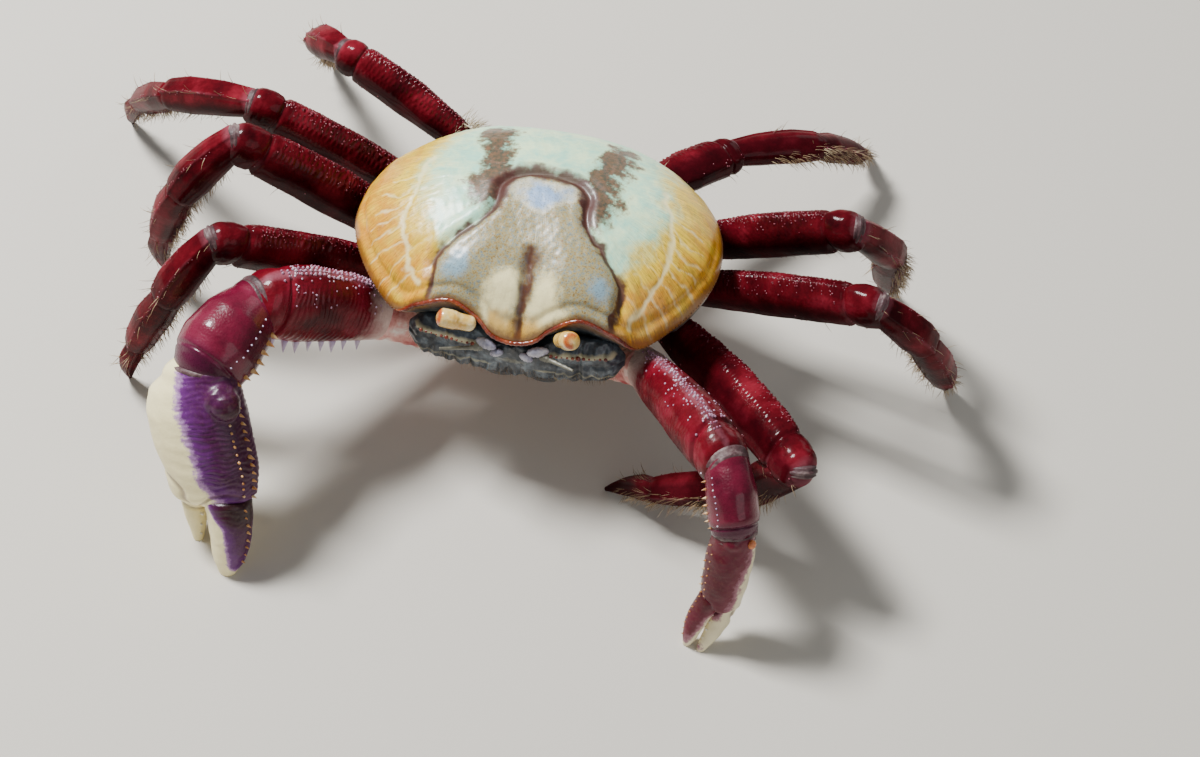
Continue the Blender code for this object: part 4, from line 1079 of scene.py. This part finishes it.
# a hand's forms made one skin, with its tone from cream to wine, its ribs and the creases at the finger roots
def smoothHand(name, parts, size, origin, along, across, edge, look, roots, steep, rib, knob):
    rough = makePiece(name + "Rough", parts, look)
    remesh = rough.modifiers.new("unite", "REMESH")
    remesh.mode = "VOXEL"
    remesh.voxel_size = size * mm
    soften = rough.modifiers.new("soften", "SMOOTH")
    soften.factor = 0.6
    soften.iterations = 8
    mesh = meshOf(rough)
    points, normals = vertexValues(mesh), vertexValues(mesh, "normal")
    forward, beside = ((points - origin) @ way / mm for way in (along, across))
    lobe = bell(np.linalg.norm(points - knob, axis=1) / mm, 5.5)
    tone = steep * (beside - np.interp(forward, *edge)) * (1 - 0.75 * lobe) + 2.2 * lobe  # the knob stays violet
    wave = np.sin((forward / 1.15 + 0.4 * ripple(points, 5, 21, 1)) * wholeTurn)
    broken = 0.4 + 0.6 * np.clip(ripple(points, 2.2, 23, 1) + 0.3, 0, 1)
    ribs = (1 - lobe) * wave * broken * step(-0.8, 1.5, tone) * step(7, 0, forward)
    folds = np.zeros(len(points))
    for root, reach in roots:
        folds = np.maximum(folds, bell(np.linalg.norm(points - root, axis=1) / mm - reach, 0.35))
    points = points + normals * ((rib * ribs - 0.4 * folds + 0.05 * ripple(points, 4, 22)) * mm)[:, None]
    points[:, 2] = np.maximum(points[:, 2], 0)
    mesh.vertices.foreach_set("co", points.astype(np.float32).ravel())
    setMark(mesh, "tone", tone + 2.5 * rib * wave * broken)
    # the fold mark also darkens the creases in the shader, as painted shade
    setMark(mesh, "fold", folds)
    mesh.name = name
    mesh.shade_smooth()
    print("hand made", name, len(mesh.polygons))
    return newObject(name, mesh)


# rows of teeth, pearls and cones, each along the edge of a limb that lies furthest one way
def toothRows(name, slot, taper, rows):
    for label, grid, towards, first, last, count, shape, look, size, seed in rows:
        spots = []
        for index, place in enumerate(np.linspace(first, last, count)):
            ring = grid[min(len(grid) - 1, int(place * len(grid)))]
            middle = ring.mean(0)
            spot = ring[np.argmax((ring - middle) @ towards)]
            share = 1 - taper * abs(2 * index / (count - 1) - 1)  # smaller towards both ends of the row
            spots.append((spot, unit(unit(spot - middle) + 0.6 * unit(towards)), share))
        pointRow(name + label, spots, shape, look, size, seed, 0.7, slot)


def makeClaw(name):
    claw = claws[name]
    nodes = {kind: name + "_" + kind for kind in ("coxa", "merus", "carpus", "palm", "dactyl")}
    inner = np.array(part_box(nodes["coxa"])).mean(0)
    shoulder = jointBetween(nodes["coxa"], nodes["merus"])
    wrist = jointBetween(nodes["merus"], nodes["carpus"]) + np.array(claw["wrist"]) * mm
    palm = jointBetween(nodes["carpus"], nodes["palm"], 1.4) + np.array(claw["palmStart"]) * mm
    start = shoulder + (inner - shoulder) * 1.6
    tip, pollex = (tipOf(nodes[kind], 0.3) for kind in ("dactyl", "palm"))
    hinge = jointBetween(nodes["palm"], nodes["dactyl"], 1.2)
    outer = unit(claw["face"])
    between = unit(np.cross(unit((tip + pollex) / 2 - hinge), outer))  # from the fixed finger to the free one
    if np.dot(between, tip - pollex) < 0:
        between = -between
    hinge = hinge - between * claw["hingeHalf"] * mm
    hinge = hinge + (between * claw["shift"][0] + unit(hinge - palm) * claw["shift"][1]) * mm
    rootFree, rootFixed = hinge + between * claw["spread"][0] * mm, hinge - between * claw["spread"][1] * mm
    along = unit(hinge - palm)
    tip = tip + between * claw["tip"] * mm

    arms = {}
    for kind, look, a, b, side, rows, cols, domes, bow, relief in (
            ("coxa", "rootMembrane", start, shoulder, forwardWay, 40, 64, (0.8, 0.8), 0.0, coxaRelief),
            ("merus", "arm", shoulder, wrist, np.cross(wrist - shoulder, straightUp), 150, 110, (0.8, 0.4), 1.5,
             armRelief),
            ("carpus", "wrist", wrist, palm, np.cross(palm - wrist, straightUp), 100, 96, (0.8, 0.5), 1.0,
             wristRelief)):
        points, marks = limbGrid(a, b, side, claw[kind], rows, cols, domes, bow, relief)
        arms[kind] = points, gridPart(points, {**marks, "rootPlace": marks["lie"] * 0})
        limbPiece(nodes[kind] + "Shell", arms[kind][1], look, "claw_arm_shell", nodes[kind])
    arm, wristPoints = arms["merus"][0], arms["carpus"][0]
    grains = grow(name + "_grains", makePiece(name + "Host", [arms["merus"][1]], "arm"), scatter, "armGrain", {
        "Shape": shapes["grain"], "Mark": "grain", "Per square mm": 0.75, "Size": claw["grain"] * mm,
        "Least size": 0.45, "Lean": 0.0, "Untidy": 0.1, "Seed": 3})
    grains.data.uv_layers.remove(grains.data.uv_layers["OFBake"])
    standFor(grains, "claw_arm_shell")
    inward, pearl, cone = unit(claw["inward"]), claw["pearl"], claw["cone"]
    toothRows(name, "claw_arm_shell", 0, (
        ("_crestPearls0", arm, (0, 0, 1), 0.14, 0.88, 24, "tooth", "armGrain", pearl, 7),
        ("_crestPearls1", arm, (0, -0.35, 1), 0.16, 0.88, 24, "tooth", "armGrain", pearl, 8),
        ("_crestPearls2", arm, (0, 0.3, 1), 0.18, 0.88, 24, "tooth", "armGrain", pearl, 9),
        ("_lowerCones", arm, (0, -0.75, -0.66), 0.2, 0.86, claw["lowerCones"], "spine", "spine", cone, 8),
        ("_armRimPearls", arm, (0, -0.9, 0.1), 0.93, 0.99, 3, "tooth", "spine", pearl * 0.8, 9),
        ("_wristSpines", wristPoints, inward, 0.25, 0.85, 7, "spine", "creamSpine", cone * 0.75, 10),
        ("_wristPearls", wristPoints, inward + outer * 0.6, 0.2, 0.8, 9, "tooth", "spine", pearl * 0.7, 11)))

    hand, _ = limbGrid(palm, hinge, outer, claw["palm"], 60, 72, (0.5, 0.35), 0.0, high=between)
    fixed, _ = limbGrid(rootFixed - along * 3 * mm, pollex, outer, claw["pollex"], 60, 56, (0.6, 0.9),
                        -claw["bow"], high=between)
    free, _ = limbGrid(rootFree - along * 1.2 * mm, tip, outer, claw["dactyl"], 70, 64, (0.35, 0.9),
                       claw["bow"], high=between)
    big = claw["knob"]
    knob = palm + np.array((along, between, outer)).T @ claw["knobPlace"] * mm + np.array(claw["knobLift"]) * mm
    swell = bladder(knob, unit(between - 0.15 * along), outer, 5.4 * big, 3.7 * big, 3.8 * big)
    creases = ((rootFree, claw["spread"][0] * 1.4), (rootFixed + along * 2 * mm, claw["spread"][1] * 1.2))
    finger = unit(tip - rootFree)
    for kind, forms, size, origin, way, edge, roots, steep, rib, lobe in (
            ("palm", (hand, fixed), claw["voxel"], hinge, along, "palmEdge", creases, 1.0, 1.0, knob),
            ("dactyl", (free,), 0.3, rootFree, finger, "fingerEdge", (), claw["steep"], 0.3,
             knob + along * 90 * mm)):  # the finger has no knob near it
        parts = [gridPart(form) for form in forms] + ([swell] if kind == "palm" else [])
        piece = smoothHand(nodes[kind] + "Shell", parts, size, origin, way, unit(between - way * np.dot(between, way)),
                           claw[edge], claw["look"], roots, steep, claw["ribs"] * rib, lobe)
        standFor(piece, "hand_shell", nodes[kind])

    many, small = claw["spineRows"], claw["spine"]
    toothRows(name, "hand_shell", 0.3, (
        ("_palmSpines", hand, between - 0.2 * outer, 0.25, 0.97, many, "spine", "creamSpine", 1.5 * small, 12),
        ("_palmPearls", hand, between + 0.25 * outer, 0.3, 0.95, many, "tooth", "creamSpine", 0.8 * small, 12),
        ("_fingerSpines", free, between - 0.1 * outer, 0.12, 0.75, 8, "spine", "creamSpine", 1.2 * small, 12),
        ("_fingerTeeth", free, -between + 0.2 * outer, 0.3, 0.85, 7, "tooth", "tooth", 0.95 * small, 12),
        ("_thumbTeeth", fixed, between + 0.2 * outer, 0.35, 0.92, 7, "tooth", "tooth", 0.95 * small, 12)))

    _, shoulderDeep, shoulderThick = claw["merus"][0]
    _, wristDeep, wristThick = claw["merus"][-1]
    _, palmDeep, palmThick = claw["carpus"][-1]
    for label, look, skins in (
            ("_rootMembrane", "rootMembrane", [
                bladder(shoulder, unit(wrist - start), forwardWay, 5, shoulderDeep * 1.02, shoulderThick * 1.05)]),
            ("_membranes", "membrane", [
                bladder(wrist, unit(palm - shoulder), forwardWay, 3.6, wristDeep * 0.8, wristThick * 0.9),
                bladder(palm, unit(hinge - wrist), outer, 4, palmDeep * 0.9, palmThick * 0.85)]),
            ("_amberMembrane", "amberMembrane", [
                bladder(knob - between * 6.0 * big * mm + outer * 1.6 * mm, along, outer, 2.2 * big, 1.8 * big,
                        1.6 * big)])):
        standFor(makePiece(name + label, skins, look), "claw_arm_shell")


makeClaw("claw_r")
makeClaw("claw_l")
print("claws made")

for shape in shapes.values():
    bpy.data.objects.remove(shape)


# floor, light and camera

studio = {
    "floor": "#cdc8be", "floorSize": 3.0, "sky": 0.27, "skyHue": "#e9edf0",
    "lamps": (("keySoftbox", (-0.42, 0.12, 0.74), 0.2, 16.0), ("fillSoftbox", (0.6, -0.6, 0.5), 0.6, 1.6),
              ("backSoftbox", (0.4, 0.8, 0.35), 0.5, 1.5)),  # name, place, size and power
}


def makeStudio():
    mesh = bpy.data.meshes.new("studioFloor")
    half = studio["floorSize"] / 2
    mesh.from_pydata([(-half, -half, 0), (half, -half, 0), (half, half, 0), (-half, half, 0)], [], [(0, 1, 2, 3)])
    material, _, shader = newMaterial("matPaperFloor")  # dull pale paper that takes soft shadows
    feed(shader, {"Base Color": hue(studio["floor"]), "Roughness": 0.85})
    mesh.materials.append(material)
    newObject("studioFloor", mesh)
    world = bpy.data.worlds.new("softRoom")
    bpy.context.scene.world = world
    world.use_nodes = True
    feed(world.node_tree.nodes["Background"], {0: hue(studio["skyHue"]), 1: studio["sky"]})
    for name, place, size, power in studio["lamps"]:
        light = bpy.data.lights.new(name, "AREA")
        light.size = size
        light.energy = power
        lamp = newObject(name, light)
        lamp.location = place
        lamp.rotation_euler = Vector(place).to_track_quat("Z", "Y").to_euler()


view = {"azimuth": 9.0, "height": 50.0, "roll": 2.5, "lens": 100.0, "sensor": 36.0, "distance": 0.72,
        "aim": (0.0, 0.0, 45.0), "aimRight": -0.0517, "aimUp": 0.1145}  # the aim's place in the frame, in widths


def makeCamera():
    a, e, r = (math.radians(view[key]) for key in ("azimuth", "height", "roll"))
    right = np.array((math.cos(a), math.sin(a), 0))
    back = np.array((math.sin(a) * math.cos(e), -math.cos(a) * math.cos(e), math.sin(e)))
    top = np.cross(back, right)
    right, top = math.cos(r) * right + math.sin(r) * top, -math.sin(r) * right + math.cos(r) * top
    wide = view["sensor"] / view["lens"] * view["distance"]
    place = crabPoint(*view["aim"]) - right * view["aimRight"] * wide - top * view["aimUp"] * wide
    place = place + back * view["distance"]
    data = bpy.data.cameras.new("studioCamera")
    data.lens = view["lens"]
    data.sensor_width = view["sensor"]
    camera = newObject("studioCamera", data)
    camera.matrix_world = [(*column, 0) for column in (right, top, back)] + [(*place, 1)]
    bpy.context.scene.camera = camera


makeStudio()
makeCamera()
print("studio made")
